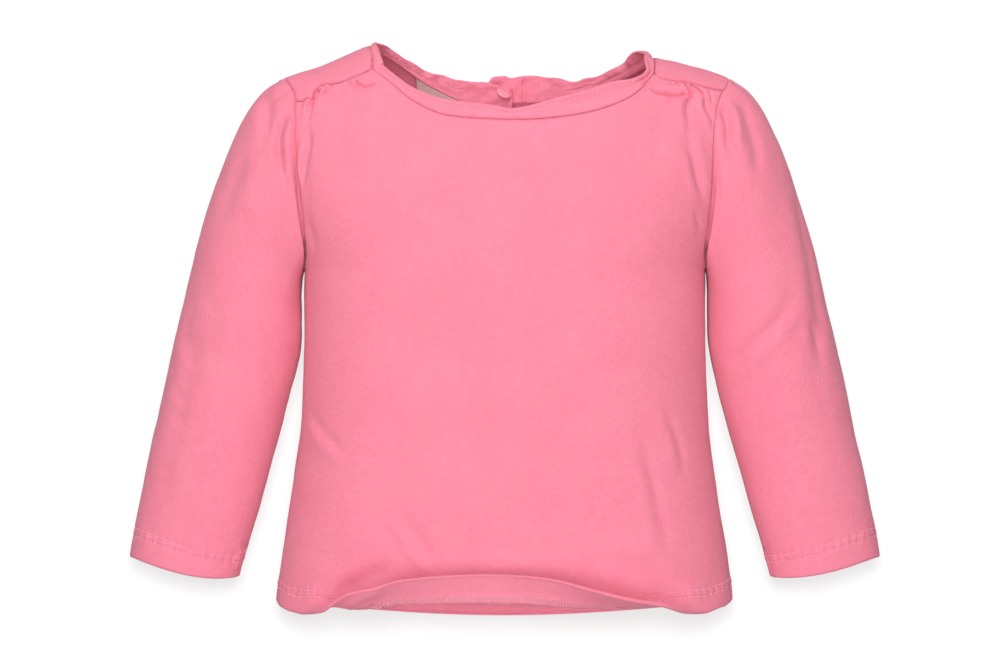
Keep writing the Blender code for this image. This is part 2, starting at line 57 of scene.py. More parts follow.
# A rim bulges by a share of its wall, up to a limit.
RIM_SHARE = 0.12
RIM_LIMIT = 0.8
CLOTH_MAP = "cloth"


class Side(Enum):
    """The viewer's left or right, as the sign of X."""

    LEFT = -1
    RIGHT = 1


class Face(Enum):
    """The front or the back of the body, as the sign of Y."""

    FRONT = -1
    BACK = 1


def curve(at: Array, knots: Array, heights: Array) -> Array:
    """Reads a smooth curve.

    Args:
        at: Places to read.
        knots: Places where the curve is given, rising.
        heights: The curve's values there.

    Returns:
        The curve's values at the places.
    """
    step = np.diff(knots)
    slope = np.diff(heights) / step
    tangent = np.empty(len(knots))
    tangent[0], tangent[-1] = slope[0], slope[-1]
    tangent[1:-1] = (slope[:-1] * step[1:] + slope[1:] * step[:-1]) / (step[:-1] + step[1:])
    at = np.clip(at, knots[0], knots[-1])
    cell = np.clip(np.searchsorted(knots, at, side="right") - 1, 0, len(step) - 1)
    t = (at - knots[cell]) / step[cell]
    rise = heights[cell + 1] - heights[cell]
    start = tangent[cell] * step[cell]
    end = tangent[cell + 1] * step[cell]
    bend = 3 * rise - 2 * start - end
    return heights[cell] + start * t + bend * t**2 + (rise - start - bend) * t**3


class Table:
    """Rows of numbers under named columns, read as smooth curves along the first column."""

    def __init__(self, names: str, *rows: tuple[float, ...]) -> None:
        """Keeps the rows as columns.

        Args:
            names: The columns' names.
            rows: One tuple for each row.
        """
        self.columns = dict(zip(names.split(), np.array(rows, float).T))
        self.key = next(iter(self.columns.values()))

    def at(self, name: str, key: Array | float) -> Array:
        """The named column's smooth value at a place along the first column."""
        return curve(key, self.key, self.columns[name])

    def sided(self, name: str, key: Array, side: Array) -> Array:
        """The value of left_name or right_name, by the sign of side."""
        return np.where(side < 0, self.at("left_" + name, key), self.at("right_" + name, key))


# ---------------------------------------------------------------- sizes
# The solids have the same sizes, except where a comment says that they differ.

CHEST = -113.0  # height of the underarm
HEM_SIDE = -289.0  # height of the hem at the side seams
HEM_DIP = 10.7  # how much lower the hem hangs at the centre
ROUNDNESS = 2.3  # 2 is an ellipse, more is squarer
CHEST_DEPTH = 58.0  # half of the body's depth at the underarm
HALF_COLUMNS = 14  # the solids' columns from the centre to an armhole
NECK_SHARE = 8 / HALF_COLUMNS  # the share of them from the centre to the neck point
SLIT_PLACE = 4.5  # the slit's distance from the centre, to the right
SLIT_HALF = 0.4  # half of the slit's width
SLIT_DEPTH = 70.0  # length of the slit down the back
SEAM_GAP = 0.3  # clear space between sewn pieces
CUFF_STATION = 12  # the sleeve's last section, at the cuff's edge

# Half width and half depth of the body from the hem up to the underarm.
BODY = Table(
    "z half_width half_depth",
    (-304, 123.2, 54.0),
    (-288, 120.8, 54.5),
    (-272, 118.8, 55.0),
    (-256, 116.3, 55.5),
    (-240, 114.0, 56.0),
    (-224, 111.8, 56.5),
    (-208, 109.6, 57.0),
    (-192, 107.8, 57.5),
    (-170, 106.7, 58.0),
    (-113, 106.0, CHEST_DEPTH),
)

# Height of the shoulder's crest at each distance from the centre.
CREST = Table(
    "x z",
    (0, 10.0),
    (40, 8.0),
    (72, 3.0),
    (88, -1.6),
    (98, -4.7),
    (110, -8.2),
    (118, -11.3),
    (136, -20.0),
)

# How much higher the crest lies than the solids' one, from the left to the right.
CREST_DRAPE = Table(
    "x lift",
    (-136, 0.0),
    (-92, 0.0),
    (-82, 1.4),
    (-72, 2.7),
    (-62, 2.2),
    (-48, 0.0),
    (62, 0.0),
    (71, -0.6),
    (80, -1.4),
    (90, -0.5),
    (100, 0.0),
    (136, 0.0),
)

# The armhole by the angle over the shoulder, 0 at the underarm and 90 on the crest: the half width
# that the body would have with no sleeve, and where the seam lies on the left and on the right.
ARMHOLE = Table(
    "turn half_width left right",
    (0, 106.0, 106.0, 106.0),
    (4.5, 108.5, 104.0, 104.9),
    (12, 114.0, 105.0, 106.4),
    (21, 120.5, 107.0, 108.0),
    (32, 127.0, 109.0, 109.0),
    (41, 130.0, 110.0, 109.8),
    (53, 132.0, 110.6, 111.4),
    (63, 133.0, 111.0, 114.0),
    (71, 134.0, 113.5, 117.0),
    (90, 136.0, 118.0, 118.6),
)

# The front's neckline, from the centre out to where the forward shoulder seam starts.
NECK_FRONT = Table(
    "place left_x left_z right_x right_z",
    (0.00, 0.0, -35.4, 0.0, -35.4),
    (0.20, 20.0, -34.3, 20.0, -34.9),
    (0.42, 36.0, -31.3, 41.0, -32.0),
    (0.62, 49.5, -24.0, 56.0, -27.6),
    (0.82, 61.0, -14.0, 69.5, -20.5),
    (1.00, 69.5, -7.5, 79.0, -9.8),
)

# The back's neckline. It goes over the crest, so its rows are given as angles over the shoulder.
NECK_BACK = Table(
    "place left_x left_turn right_x right_turn",
    (0.00, -4.1, 46.3, 4.9, 49.7),
    (0.22, 19.0, 50.0, 24.0, 50.4),
    (0.42, 36.0, 55.6, 41.0, 53.8),
    (0.60, 51.0, 64.0, 57.0, 59.6),
    (0.76, 64.0, 77.5, 71.5, 71.0),
    (0.88, 72.0, 92.0, 79.5, 88.0),
    (1.00, 69.5, 115.0, 79.0, 113.0),
)

# The forward shoulder seam, from the neckline out to the armhole. It bends more than the solids' one.
SHOULDER_SEAM = Table(
    "place left_x left_z right_x right_z",
    (0.00, 69.5, -7.5, 79.0, -9.8),
    (0.15, 76.2, -10.6, 83.9, -12.9),
    (0.28, 81.7, -12.9, 88.8, -13.8),
    (0.41, 87.0, -14.9, 93.7, -14.4),
    (0.54, 92.6, -15.5, 98.6, -15.0),
    (0.60, 95.4, -16.0, 100.8, -15.5),
    (0.65, 97.9, -16.6, 102.6, -16.0),
    (0.74, 100.3, -19.8, 105.9, -16.9),
    (0.83, 101.6, -23.2, 109.2, -17.7),
    (0.90, 105.2, -24.1, 111.9, -18.2),
    (1.00, 110.8, -24.7, 116.2, -18.6),
)

# How much lower the front hem hangs than the solids' one, from the left side seam to the right one.
SAG = Table(
    "across sag",
    (-1.00, -0.4),
    (-0.98, 0.7),
    (-0.96, 1.15),
    (-0.94, 1.6),
    (-0.91, 1.5),
    (-0.88, 1.4),
    (-0.84, 0.15),
    (-0.80, -0.5),
    (-0.76, 0.1),
    (-0.72, 0.1),
    (-0.66, 0.0),
    (0.58, 0.0),
    (0.66, -0.6),
    (0.74, -0.9),
    (0.80, -0.7),
    (0.84, 0.1),
    (0.88, 0.7),
    (0.91, 0.3),
    (0.94, -0.1),
    (0.96, -0.1),
    (0.98, -0.8),
    (1.00, -1.3),
)

# The front hem's curl, from the left side seam to the right one: the angle that its edge has turned,
# and the length of cloth below the roll. The solids' curl is a little plainer.
CURL = Table(
    "across angle length",
    (-1.00, 0, 4.0),
    (-0.93, 0, 4.2),
    (-0.88, 8, 4.8),
    (-0.84, 24, 5.6),
    (-0.80, 48, 6.5),
    (-0.76, 74, 7.4),
    (-0.72, 97, 8.7),
    (-0.65, 122, 11.0),
    (-0.55, 140, 13.2),
    (-0.38, 152, 15.5),
    (-0.20, 160, 16.6),
    (0.00, 162, 17.0),
    (0.20, 152, 16.6),
    (0.35, 132, 15.5),
    (0.50, 114, 13.5),
    (0.62, 98, 11.0),
    (0.67, 86, 10.0),
    (0.72, 68, 8.6),
    (0.77, 46, 7.0),
    (0.82, 24, 5.6),
    (0.87, 9, 4.8),
    (0.93, 0, 4.2),
    (1.00, 0, 4.0),
)

# A sleeve's sections: where each crosses its outer and inner edge, half of its depth, and how much
# lower it hangs in front and behind.
SLEEVE = Table(
    "station outer_x outer_z inner_x inner_z half_depth sag",
    (0, 118.4, -11.3, 106.5, -113.0, 29.6, 0.0),
    (1, 128.6, -18.6, 107.2, -116.5, 30.6, 0.0),
    (2, 137.8, -31.5, 107.3, -120.0, 31.2, 0.0),
    (3, 146.3, -49.3, 107.4, -124.5, 31.2, 0.0),
    (4, 153.8, -70.5, 107.4, -131.0, 30.8, 0.0),
    (5, 160.6, -91.7, 107.5, -140.0, 30.0, 0.0),
    (6, 166.2, -113.0, 107.9, -153.0, 29.0, 0.0),
    (7, 171.3, -135.5, 111.2, -170.5, 27.6, 0.0),
    (8, 176.9, -159.5, 116.2, -189.5, 26.0, 0.0),
    (9, 182.8, -186.0, 122.7, -212.5, 24.0, 0.0),
    (10, 188.8, -213.0, 129.3, -236.5, 22.0, 0.0),
    (11, 194.4, -240.0, 135.6, -257.5, 20.0, 1.6),
    (12, 198.6, -265.0, 141.0, -275.5, 18.5, 4.0),
)

# The neckband's height and its lean to the inside, along the strip from its left end at the centre
# back, round the left neck point, the centre front and the right neck point, to its right end. The
# solids' strip has far fewer rows.
BAND = Table(
    "along height lean",
    (0.000, 8.8, 17),
    (0.016, 10.8, 17),
    (0.031, 11.8, 14),
    (0.050, 10.8, 9),
    (0.063, 9.7, 5),
    (0.078, 7.9, 4),
    (0.092, 7.2, 4),
    (0.108, 5.3, 4),
    (0.122, 5.1, 5),
    (0.143, 4.4, 7),
    (0.158, 2.3, 10),
    (0.172, 2.4, 14),
    (0.190, 2.9, 26),
    (0.204, 3.7, 40),
    (0.219, 3.9, 56),
    (0.235, 4.3, 68),
    (0.250, 5.1, 73),
    (0.266, 5.2, 71),
    (0.282, 5.9, 64),
    (0.297, 7.4, 64),
    (0.313, 6.1, 49),
    (0.344, 6.5, 35),
    (0.376, 8.2, 29),
    (0.407, 9.3, 26),
    (0.438, 8.9, 23),
    (0.462, 7.9, 21),
    (0.485, 6.2, 20),
    (0.501, 7.1, 20),
    (0.516, 8.7, 20),
    (0.532, 10.4, 21),
    (0.563, 12.4, 24),
    (0.590, 13.6, 28),
    (0.610, 13.9, 30),
    (0.626, 13.2, 33),
    (0.642, 10.8, 36),
    (0.657, 8.2, 40),
    (0.673, 5.8, 46),
    (0.689, 5.4, 52),
    (0.704, 6.2, 56),
    (0.720, 6.6, 60),
    (0.736, 6.0, 60),
    (0.751, 6.8, 54),
    (0.767, 8.2, 47),
    (0.782, 8.6, 39),
    (0.798, 8.0, 32),
    (0.814, 5.8, 22),
    (0.829, 5.1, 15),
    (0.853, 4.3, 8),
    (0.869, 5.5, 6),
    (0.880, 5.2, 5),
    (0.890, 6.3, 4),
    (0.901, 8.6, 4),
    (0.919, 10.4, 2),
    (0.936, 12.5, 1),
    (0.952, 12.6, 0),
    (0.965, 11.6, 0),
    (0.971, 11.8, 0),
    (0.978, 11.1, 0),
    (0.990, 10.2, 0),
    (1.000, 9.9, 0),
)


# ---------------------------------------------------------------- small tools


def ease(t: Array | float) -> Array:
    """0 below 0, 1 above 1, and smooth between."""
    t = np.clip(t, 0.0, 1.0)
    return t * t * (3 - 2 * t)


def within(t: Array, start: float, end: float, rise: float, fall: float) -> Array:
    """1 from start to end, reached after rise and left from fall before the end."""
    return ease((t - start) / rise) * ease((end - t) / fall)


def apart_from(t: Array, start: float, end: float, fall: float, rise: float) -> Array:
    """0 from start to end, and 1 at fall before start and at rise after end."""
    return ease((start - t) / fall) + ease((t - end) / rise)


def hill(t: Array | float, width: float) -> Array:
    """A bell of height 1 around 0."""
    return np.exp(-((np.asarray(t) / width) ** 2))


def rounding(t: Array) -> Array:
    """How far a round edge falls away: 1 at the edge, where t is 0, and 0 from t = 1 on."""
    return 1 - np.sqrt(1 - (0.98 * np.clip(1 - t, 0, 1)) ** 2)


def unit(vectors: Array) -> Array:
    """Vectors of length 1 in the same directions."""
    return vectors / np.maximum(np.linalg.norm(vectors, axis=-1, keepdims=True), TINY)


def lengths_along(path: Array) -> Array:
    """The length from a path's start to each of its points."""
    return np.concatenate([[0], np.cumsum(np.linalg.norm(np.diff(path, axis=0), axis=1))])


def resample(path: Array, at: Array) -> Array:
    """Reads a path, row by row, at lengths from its start."""
    return interpolate(at, lengths_along(path), path)


def interpolate(at: Array, knots: Array, rows: Array) -> Array:
    """Reads each column of rows, given at knots, at other places."""
    return np.stack([np.interp(at, knots, column) for column in rows.T], axis=-1)


def smooth_path(points: tuple[tuple[float, ...], ...], count: int) -> Array:
    """Evenly spaced places on a smooth curve through a few points.

    Args:
        points: The points that it passes through.
        count: How many places to give.

    Returns:
        An array with a row for each place.
    """
    knots = np.array(points, float)
    key = lengths_along(knots)
    fine = np.stack([curve(np.linspace(0, key[-1], 200), key, column) for column in knots.T], axis=-1)
    return resample(fine, np.linspace(0, lengths_along(fine)[-1], count))


def undulation(points: Array, size: float, seed: int) -> Array:
    """Smooth, irregular swells between about -1 and 1.

    Args:
        points: Places, in millimetres.
        size: The usual length of a swell.
        seed: Which pattern of swells.

    Returns:
        The swell's height at each place.
    """
    rng = np.random.default_rng(seed)
    total = np.zeros(points.shape[:-1])
    waves = 9
    for _ in range(waves):
        direction = unit(rng.normal(size=3))
        turn = points @ direction * 2 * math.pi / (size * rng.uniform(0.7, 1.6))
        total += np.sin(turn + rng.uniform(0, 2 * math.pi) + 0.8 * np.sin(0.37 * turn))
    return total / math.sqrt(waves * 2)


def grid_normals(grid: Array, wrap: bool = False) -> Array:
    """The directions that a grid of points faces.

    Args:
        grid: Its points: row, column, xyz.
        wrap: Whether the last column meets the first.

    Returns:
        Unit normals: along the rows' columns, crossed with up the rows.
    """
    if wrap:
        along = np.roll(grid, -1, axis=1) - np.roll(grid, 1, axis=1)
    else:
        along = np.gradient(grid, axis=1, edge_order=2)
    return unit(np.cross(along, np.gradient(grid, axis=0, edge_order=2)))


def arc_lengths(grid: Array, axis: int) -> Array:
    """The length along each row or column of a grid, from its first point."""
    steps = np.linalg.norm(np.diff(grid, axis=axis), axis=2)
    return np.insert(np.cumsum(steps, axis=axis), 0, 0, axis=axis)


def flat_map(grid: Array, middle: int) -> Array:
    """Lays a grid flat.

    Args:
        grid: Its points, in millimetres.
        middle: The column that the places across are measured from.

    Returns:
        Each point's place on the flat cloth, in metres: across and up.
    """
    across = arc_lengths(grid, 1)
    across = across - across[:, middle: middle + 1]
    up = arc_lengths(grid, 0)
    up = up.mean(axis=1, keepdims=True) + 0 * up
    return np.stack([across, up], axis=-1) * MM


@dataclass(frozen=True)
class Crease:
    """A soft trough in the cloth, with a low ridge beside it.

    Attributes:
        path: Places that it passes, in the surface's own two coordinates.
        width: Half of the trough's width.
        depth: How deep it is. Below zero it is a ridge.
        ridge: The ridge's height as a share of the depth. Below zero it lies on the other side.
        fade: The shares of the length over which the crease starts and ends.
    """

    path: tuple[tuple[float, float], ...]
    width: float
    depth: float
    ridge: float = 0.5
    fade: tuple[float, float] = (0.35, 0.35)

    def sink(self, points: Array, normals: Array, locate: Locate) -> Array:
        """How far each point sinks.

        Args:
            points: The cloth's points.
            normals: Their outward normals.
            locate: A function from the surface's coordinates to points.

        Returns:
            The depth at each point, below zero where the cloth rises.
        """
        places = smooth_path(self.path, 70)
        line = locate(places[:, 0], places[:, 1])
        reach = 6 * self.width
        near = np.all((points > line.min(0) - reach) & (points < line.max(0) + reach), axis=-1)
        cloud = points[near]
        closest = np.argmin(np.linalg.norm(cloud[:, None] - line[None], axis=2), axis=1)
        offset = cloud - line[closest]
        tangent = unit(np.gradient(line, axis=0))[closest]
        beyond = np.sum(offset * tangent, axis=1)
        sideways = np.sum(offset * unit(np.cross(tangent, normals[near])), axis=1)
        lifted = np.sum(offset * normals[near], axis=1)
        share = closest / (len(line) - 1)
        strength = ease(share / self.fade[0] + 0.02) * ease((1 - share) / self.fade[1] + 0.02)
        strength *= hill(beyond, self.width) * hill(lifted, 4 * self.width)
        beside = 2.0 * self.width * math.copysign(1, self.ridge)
        profile = hill(sideways, self.width)
        profile -= abs(self.ridge) * hill(sideways - beside, 1.25 * self.width)
        total = np.zeros(points.shape[:-1])
        total[near] = self.depth * strength * profile
        return total


def press(grid: Array, normals: Array, creases: tuple[Crease, ...], locate: Locate) -> Array:
    """A grid with creases pressed into it.

    Args:
        grid: The cloth's points.
        normals: Their outward normals.
        creases: The creases.
        locate: A function from the surface's coordinates to points.

    Returns:
        The moved points.
    """
    depth = np.zeros(grid.shape[:2])
    for crease in creases:
        depth += crease.sink(grid, normals, locate)
    return grid - normals * depth[..., None]


# ---------------------------------------------------------------- shader groups


class Nodes:
    """A short way to add linked nodes to one node tree."""

    def __init__(self, tree: bpy.types.NodeTree) -> None:
        """Keeps the tree.

        Args:
            tree: The tree that nodes are added to.
        """
        self.tree = tree

    def fill(self, node: bpy.types.Node, inputs: dict[str | int, Value]) -> None:
        """Sets inputs of a node.

        Args:
            node: The node.
            inputs: Values or sockets for its inputs, by name or number.
        """
        for name, value in inputs.items():
            if isinstance(value, bpy.types.NodeSocket):
                self.tree.links.new(value, node.inputs[name])
            else:
                node.inputs[name].default_value = value

    def add(self, kind: str, inputs: dict[str | int, Value] | None = None,
            **settings: object) -> bpy.types.Node:
        """Adds a node.

        Args:
            kind: The node's type.
            inputs: Values or sockets for its inputs, by name or number.
            settings: Properties to set on it.

        Returns:
            The node.
        """
        node = self.tree.nodes.new(kind)
        for name, value in settings.items():
            setattr(node, name, value)
        self.fill(node, inputs or {})
        return node

    def math(self, operation: str, *values: Value) -> bpy.types.NodeSocket:
        """The result of a Math node on numbers or sockets."""
        node = self.add("ShaderNodeMath", dict(enumerate(values)), operation=operation)
        return node.outputs[0]

    def noise(self, vector: bpy.types.NodeSocket, scale: Value, detail: float = 2.0,
              rough: float = 0.5) -> bpy.types.NodeSocket:
        """The value of a Noise Texture."""
        inputs = {"Vector": vector, "Scale": scale, "Detail": detail, "Roughness": rough}
        return self.add("ShaderNodeTexNoise", inputs).outputs[0]


def new_group(name: str, sockets: dict[str, tuple[str, str, float]]) -> tuple[bpy.types.NodeTree, Nodes]:
    """Makes a shader node group.

    Args:
        name: The group's name.
        sockets: For each socket its direction, its kind and its default value.

    Returns:
        The group and a helper that adds nodes to it.
    """
    tree = bpy.data.node_groups.new(name, "ShaderNodeTree")
    for label, (direction, kind, value) in sockets.items():
        socket = tree.interface.new_socket(label, in_out=direction, socket_type="NodeSocket" + kind)
        if kind == "Float":
            socket.default_value = value
    return tree, Nodes(tree)


def knit_group() -> bpy.types.NodeTree:
    """Rows of V-shaped stitches as height and tone; the tone is painted shade, darker between the loops, on
    top of random patches and streaks. Wale and Course are stitches to the metre.

    Returns:
        The group "jersey_knit".
    """
    tree, nodes = new_group("jersey_knit", {
        "Place": ("INPUT", "Vector", 0),
        "Wale": ("INPUT", "Float", 1100.0),
        "Course": ("INPUT", "Float", 1400.0),
        "Unevenness": ("INPUT", "Float", 3.0),
        "Height": ("OUTPUT", "Float", 0),
        "Tone": ("OUTPUT", "Float", 0),
    })
    start = nodes.add("NodeGroupInput").outputs
    parts = nodes.add("ShaderNodeSeparateXYZ", {0: start["Place"]}).outputs
    wander = nodes.math("MULTIPLY", nodes.noise(start["Place"], 110.0), start["Unevenness"])
    across = nodes.math("ADD", nodes.math("MULTIPLY", parts[0], start["Wale"]), wander)
    wale = nodes.math("PINGPONG", across, 0.5)
    bulge = nodes.math("SINE", nodes.math("MULTIPLY", wale, math.pi))
    slant = nodes.math("MULTIPLY_ADD", parts[1], start["Course"], wale)
    loop = nodes.math("SINE", nodes.math("MULTIPLY", slant, 2 * math.pi))
    height = nodes.math("MULTIPLY_ADD", loop, 0.25, bulge)
    patchy = nodes.noise(start["Place"], 420.0, 3.0, 0.6)
    yarn = nodes.add("ShaderNodeCombineXYZ", {0: parts[0], 1: nodes.math("MULTIPLY", parts[1], 2.4)})
    streaky = nodes.math("MULTIPLY", nodes.noise(yarn.outputs[0], 210.0, 3.0, 0.65), 1.9)
    patchy = nodes.math("MULTIPLY_ADD", patchy, 0.65, streaky)
    # Painted shade: the tone falls where the knit's height is low, between the wales, and the random patches
    # and streaks are added to it.
    tone = nodes.math("MULTIPLY_ADD", height, 0.24, patchy)
    nodes.add("NodeGroupOutput", {"Height": height, "Tone": tone})
    return tree


def dye_group() -> bpy.types.NodeTree:
    """Slow drift and fine flecks in a dyed cloth's tone, around 0.5.

    Returns:
        The group "dye_drift".
    """
    tree, nodes = new_group("dye_drift", {
        "Place": ("INPUT", "Vector", 0),
        "Drift": ("INPUT", "Float", 40.0),
        "Fleck": ("INPUT", "Float", 900.0),
        "Tone": ("OUTPUT", "Float", 0),
    })
    start = nodes.add("NodeGroupInput").outputs
    drift = nodes.noise(start["Place"], start["Drift"], 4.0, 0.6)
    fleck = nodes.noise(start["Place"], start["Fleck"], 2.0, 0.7)
    tone = nodes.math("MULTIPLY_ADD", drift, 0.6, nodes.math("MULTIPLY", fleck, 0.4))
    nodes.add("NodeGroupOutput", {"Tone": tone})
    return tree


GROUPS = {"knit": knit_group(), "dye": dye_group()}


def new_material(name: str) -> tuple[bpy.types.Material, Nodes, bpy.types.Node]:
    """Makes a material.

    Args:
        name: Its name.

    Returns:
        The material, a helper that adds nodes to it, and its shader.
    """
    material = bpy.data.materials.new(name)
    material.use_nodes = True
    return material, Nodes(material.node_tree), material.node_tree.nodes["Principled BSDF"]


@dataclass(frozen=True)
class ClothFinish:
    """A dyed cotton finish.

    Attributes:
        name: The material's name.
        colour: Its colour, linear.
        deep: The darker tone that it drifts to, by random tone and by painted shade between the knit's loops.
        wale: Stitches to the metre across.
        course: Stitches to the metre along.
        relief: The knit's depth, in metres.
        roughness: The shader's roughness.
        sheen: Weight of the soft fuzz at grazing angles.
    """

    name: str
    colour: tuple[float, float, float]
    deep: tuple[float, float, float]
    wale: float = 1080.0
    course: float = 1350.0
    relief: float = 0.00022
    roughness: float = 0.88
    sheen: float = 0.25

    def build(self) -> bpy.types.Material:
        """Makes the material.

        Returns:
            The material.
        """
        material, nodes, shader = new_material(self.name)
        place = nodes.add("ShaderNodeUVMap", uv_map=CLOTH_MAP).outputs[0]
        body = nodes.add("ShaderNodeTexCoord").outputs["Object"]
        stitches = {"Place": place, "Wale": self.wale, "Course": self.course}
        knit = nodes.add("ShaderNodeGroup", stitches, node_tree=GROUPS["knit"])
        dye = nodes.add("ShaderNodeGroup", {"Place": body}, node_tree=GROUPS["dye"])
        # The knit's tone carries painted shade between its loops; the dye's tone is random drift and flecks.
        tone = nodes.math("MULTIPLY_ADD", knit.outputs["Tone"], 0.5, dye.outputs["Tone"])
        share = nodes.add("ShaderNodeMapRange", {0: tone, 1: 0.97, 2: 1.47})
        tones = {0: share.outputs[0], 6: (*self.deep, 1), 7: (*self.colour, 1)}
        colour = nodes.add("ShaderNodeMix", tones, data_type="RGBA")
        relief = {"Height": knit.outputs["Height"], "Distance": self.relief, "Strength": 0.45}
        nodes.fill(shader, {
            "Base Color": colour.outputs[2],
            "Normal": nodes.add("ShaderNodeBump", relief).outputs[0],
            "Roughness": self.roughness,
            "Specular IOR Level": 0.2,
            "Sheen Weight": self.sheen,
            "Sheen Roughness": 0.45,
            "Sheen Tint": (1.0, 0.72, 0.78, 1),
        })
        material.diffuse_color = (*self.colour, 1)
        return material


@dataclass(frozen=True)
class CapFinish:
    """The snap's glossy moulded plastic.

    Attributes:
        name: The material's name.
        colour: Its colour, linear.
        relief: The depth of its fine waves, in metres.
        coat: Weight of the glossy skin.
    """

    name: str = "snap_plastic"
    colour: tuple[float, float, float] = (0.86, 0.27, 0.37)
    relief: float = 0.00004
    coat: float = 0.15

    def build(self) -> bpy.types.Material:
        """Makes the material.

        Returns:
            The material.
        """
        material, nodes, shader = new_material(self.name)
        body = nodes.add("ShaderNodeTexCoord").outputs["Object"]
        tone = nodes.add("ShaderNodeGroup", {"Place": body}, node_tree=GROUPS["dye"]).outputs["Tone"]
        nodes.fill(shader, {
            "Roughness": nodes.add("ShaderNodeMapRange", {0: tone, 3: 0.34, 4: 0.46}).outputs[0],
            "Normal": nodes.add("ShaderNodeBump", {"Height": tone, "Distance": self.relief}).outputs[0],
            "Base Color": (*self.colour, 1),
            "Coat Weight": self.coat,
        })
        material.diffuse_color = (*self.colour, 1)
        return material


JERSEY = ClothFinish("pink_jersey", (0.825, 0.238, 0.330), (0.785, 0.196, 0.282))
# The thread is dyed like the cloth; its lighter colour is a painted highlight on the stitches.
THREAD = ClothFinish("pink_thread", (0.88, 0.37, 0.46), (0.85, 0.32, 0.41), 3000.0, 3000.0, 0.00008)
RIBBON = ClothFinish(
    "taupe_ribbon", (0.78, 0.54, 0.52), (0.70, 0.47, 0.455), 2600.0, 1900.0, 0.00008, 0.55, 0.1
)
CAP = CapFinish()


# ---------------------------------------------------------------- meshes


def build_mesh(name: str, points: Array, faces: Array, material: bpy.types.Material,
               places: Array | None = None, round_length: float = 0.0) -> bpy.types.Object:
    """Makes a smooth-shaded mesh object of four-sided faces.

    Args:
        name: The piece's name.
        points: Its points, in millimetres.
        faces: Rows of four point numbers.
        material: Its material.
        places: Each point's place on the flat cloth, in metres.
        round_length: The length after which the cloth meets itself. 0, where it doesn't.

    Returns:
        The object.
    """
    mesh = bpy.data.meshes.new(name)
    mesh.vertices.add(len(points))
    mesh.vertices.foreach_set("co", (points * MM).astype(np.float32).ravel())
    mesh.loops.add(faces.size)
    mesh.loops.foreach_set("vertex_index", faces.astype(np.int32).ravel())
    mesh.polygons.add(len(faces))
    mesh.polygons.foreach_set("loop_start", np.arange(0, faces.size, 4, dtype=np.int32))
    mesh.polygons.foreach_set("use_smooth", np.ones(len(faces), bool))
    if places is not None:
        layer = mesh.uv_layers.new(name=CLOTH_MAP)
        corners = places[faces]
        if round_length:
            far = corners[..., 0].max(axis=1, keepdims=True) - corners[..., 0] > round_length / 2
            corners[..., 0] += far * round_length
        layer.data.foreach_set("uv", corners.astype(np.float32).ravel())
    mesh.update(calc_edges=True)
    mesh.validate()
    mesh.materials.append(material)
    made = bpy.data.objects.new(name, mesh)
    bpy.context.scene.collection.objects.link(made)
    return made


def cloth_wall(name: str, outer: Array, inner: Array, places: Array, material: bpy.types.Material,
               wrap: bool = False, kept: Array | None = None) -> bpy.types.Object:
    """A closed wall between two grids, its rim rounded.

    Args:
        name: The piece's name.
        outer: The grid of the cloth's right side.
        inner: The grid of its wrong side.
        places: The grid's places on the flat cloth.
        material: Its material.
        wrap: Whether the last column meets the first.
        kept: Which cells there are. All, where it is None.

    Returns:
        The object.
    """
    rows, columns = outer.shape[:2]
    spans = columns if wrap else columns - 1
    kept = np.ones((rows - 1, spans), bool) if kept is None else kept
    row, column = np.nonzero(kept)
    following = (column + 1) % columns
    corners = np.stack([
        row * columns + column,
        row * columns + following,
        (row + 1) * columns + following,
        (row + 1) * columns + column,
    ], axis=1)
    layer = rows * columns
    faces = [corners, corners[:, ::-1] + layer]
    padded = np.zeros((rows + 1, spans + 2), bool)
    padded[1:-1, 1:-1] = kept
    if wrap:
        padded[1:-1, 0], padded[1:-1, -1] = kept[:, -1], kept[:, 0]
    neighbours = (padded[:-2, 1:-1], padded[1:-1, 2:], padded[2:, 1:-1], padded[1:-1, :-2])
    outer_flat, inner_flat = outer.reshape(-1, 3), inner.reshape(-1, 3)
    centres = outer_flat[corners].mean(axis=1)
    push = np.zeros_like(outer_flat)
    edges = []
    for k, neighbour in enumerate(neighbours):
        open_here = ~neighbour[row, column]
        a, b = corners[open_here, k], corners[open_here, (k + 1) % 4]
        outward = unit((outer_flat[a] + outer_flat[b]) / 2 - centres[open_here])
        np.add.at(push, a, outward)
        np.add.at(push, b, outward)
        edges.append(np.stack([a, b], axis=1))
    edge = np.concatenate(edges)
    rim = np.unique(edge)
    number = np.full(layer, -1)
    number[rim] = 2 * layer + np.arange(len(rim))
    wall = np.linalg.norm(outer_flat[rim] - inner_flat[rim], axis=1, keepdims=True)
    reach = np.minimum(wall * RIM_SHARE, RIM_LIMIT)
    bulge = (outer_flat[rim] + inner_flat[rim]) / 2 + unit(push[rim]) * reach
    a, b = edge.T
    faces.append(np.stack([b, a, number[a], number[b]], axis=1))
    faces.append(np.stack([number[b], number[a], a + layer, b + layer], axis=1))
    points = np.concatenate([outer_flat, inner_flat, bulge])
    flat = places.reshape(-1, 2)
    flat = np.concatenate([flat, flat, flat[rim]])
    faces = np.concatenate(faces)
    used, faces = np.unique(faces, return_inverse=True)
    around = float(np.ptp(places[..., 0])) if wrap else 0.0
    return build_mesh(name, points[used], faces.reshape(-1, 4), material, flat[used], around)


def tube_faces(count: int, length: int, sides: int) -> Array:
    """Faces of separate closed tubes.

    Args:
        count: How many tubes.
        length: How many sections each has.
        sides: Points of a section, an even number.

    Returns:
        Rows of four point numbers.
    """
    first = np.arange(count) * length * sides
    section = (first[:, None] + np.arange(length - 1) * sides)[..., None]
    k = np.arange(sides)
    a, b = section + k, section + (k + 1) % sides
    faces = [np.stack([a, b, b + sides, a + sides], axis=-1).reshape(-1, 4)]
    last = first + (length - 1) * sides
    for j in range(1, sides - 2, 2):
        fan = np.array([0, j, j + 1, j + 2])
        faces.append(first[:, None] + fan[::-1])
        faces.append(last[:, None] + fan)
    return np.concatenate(faces)


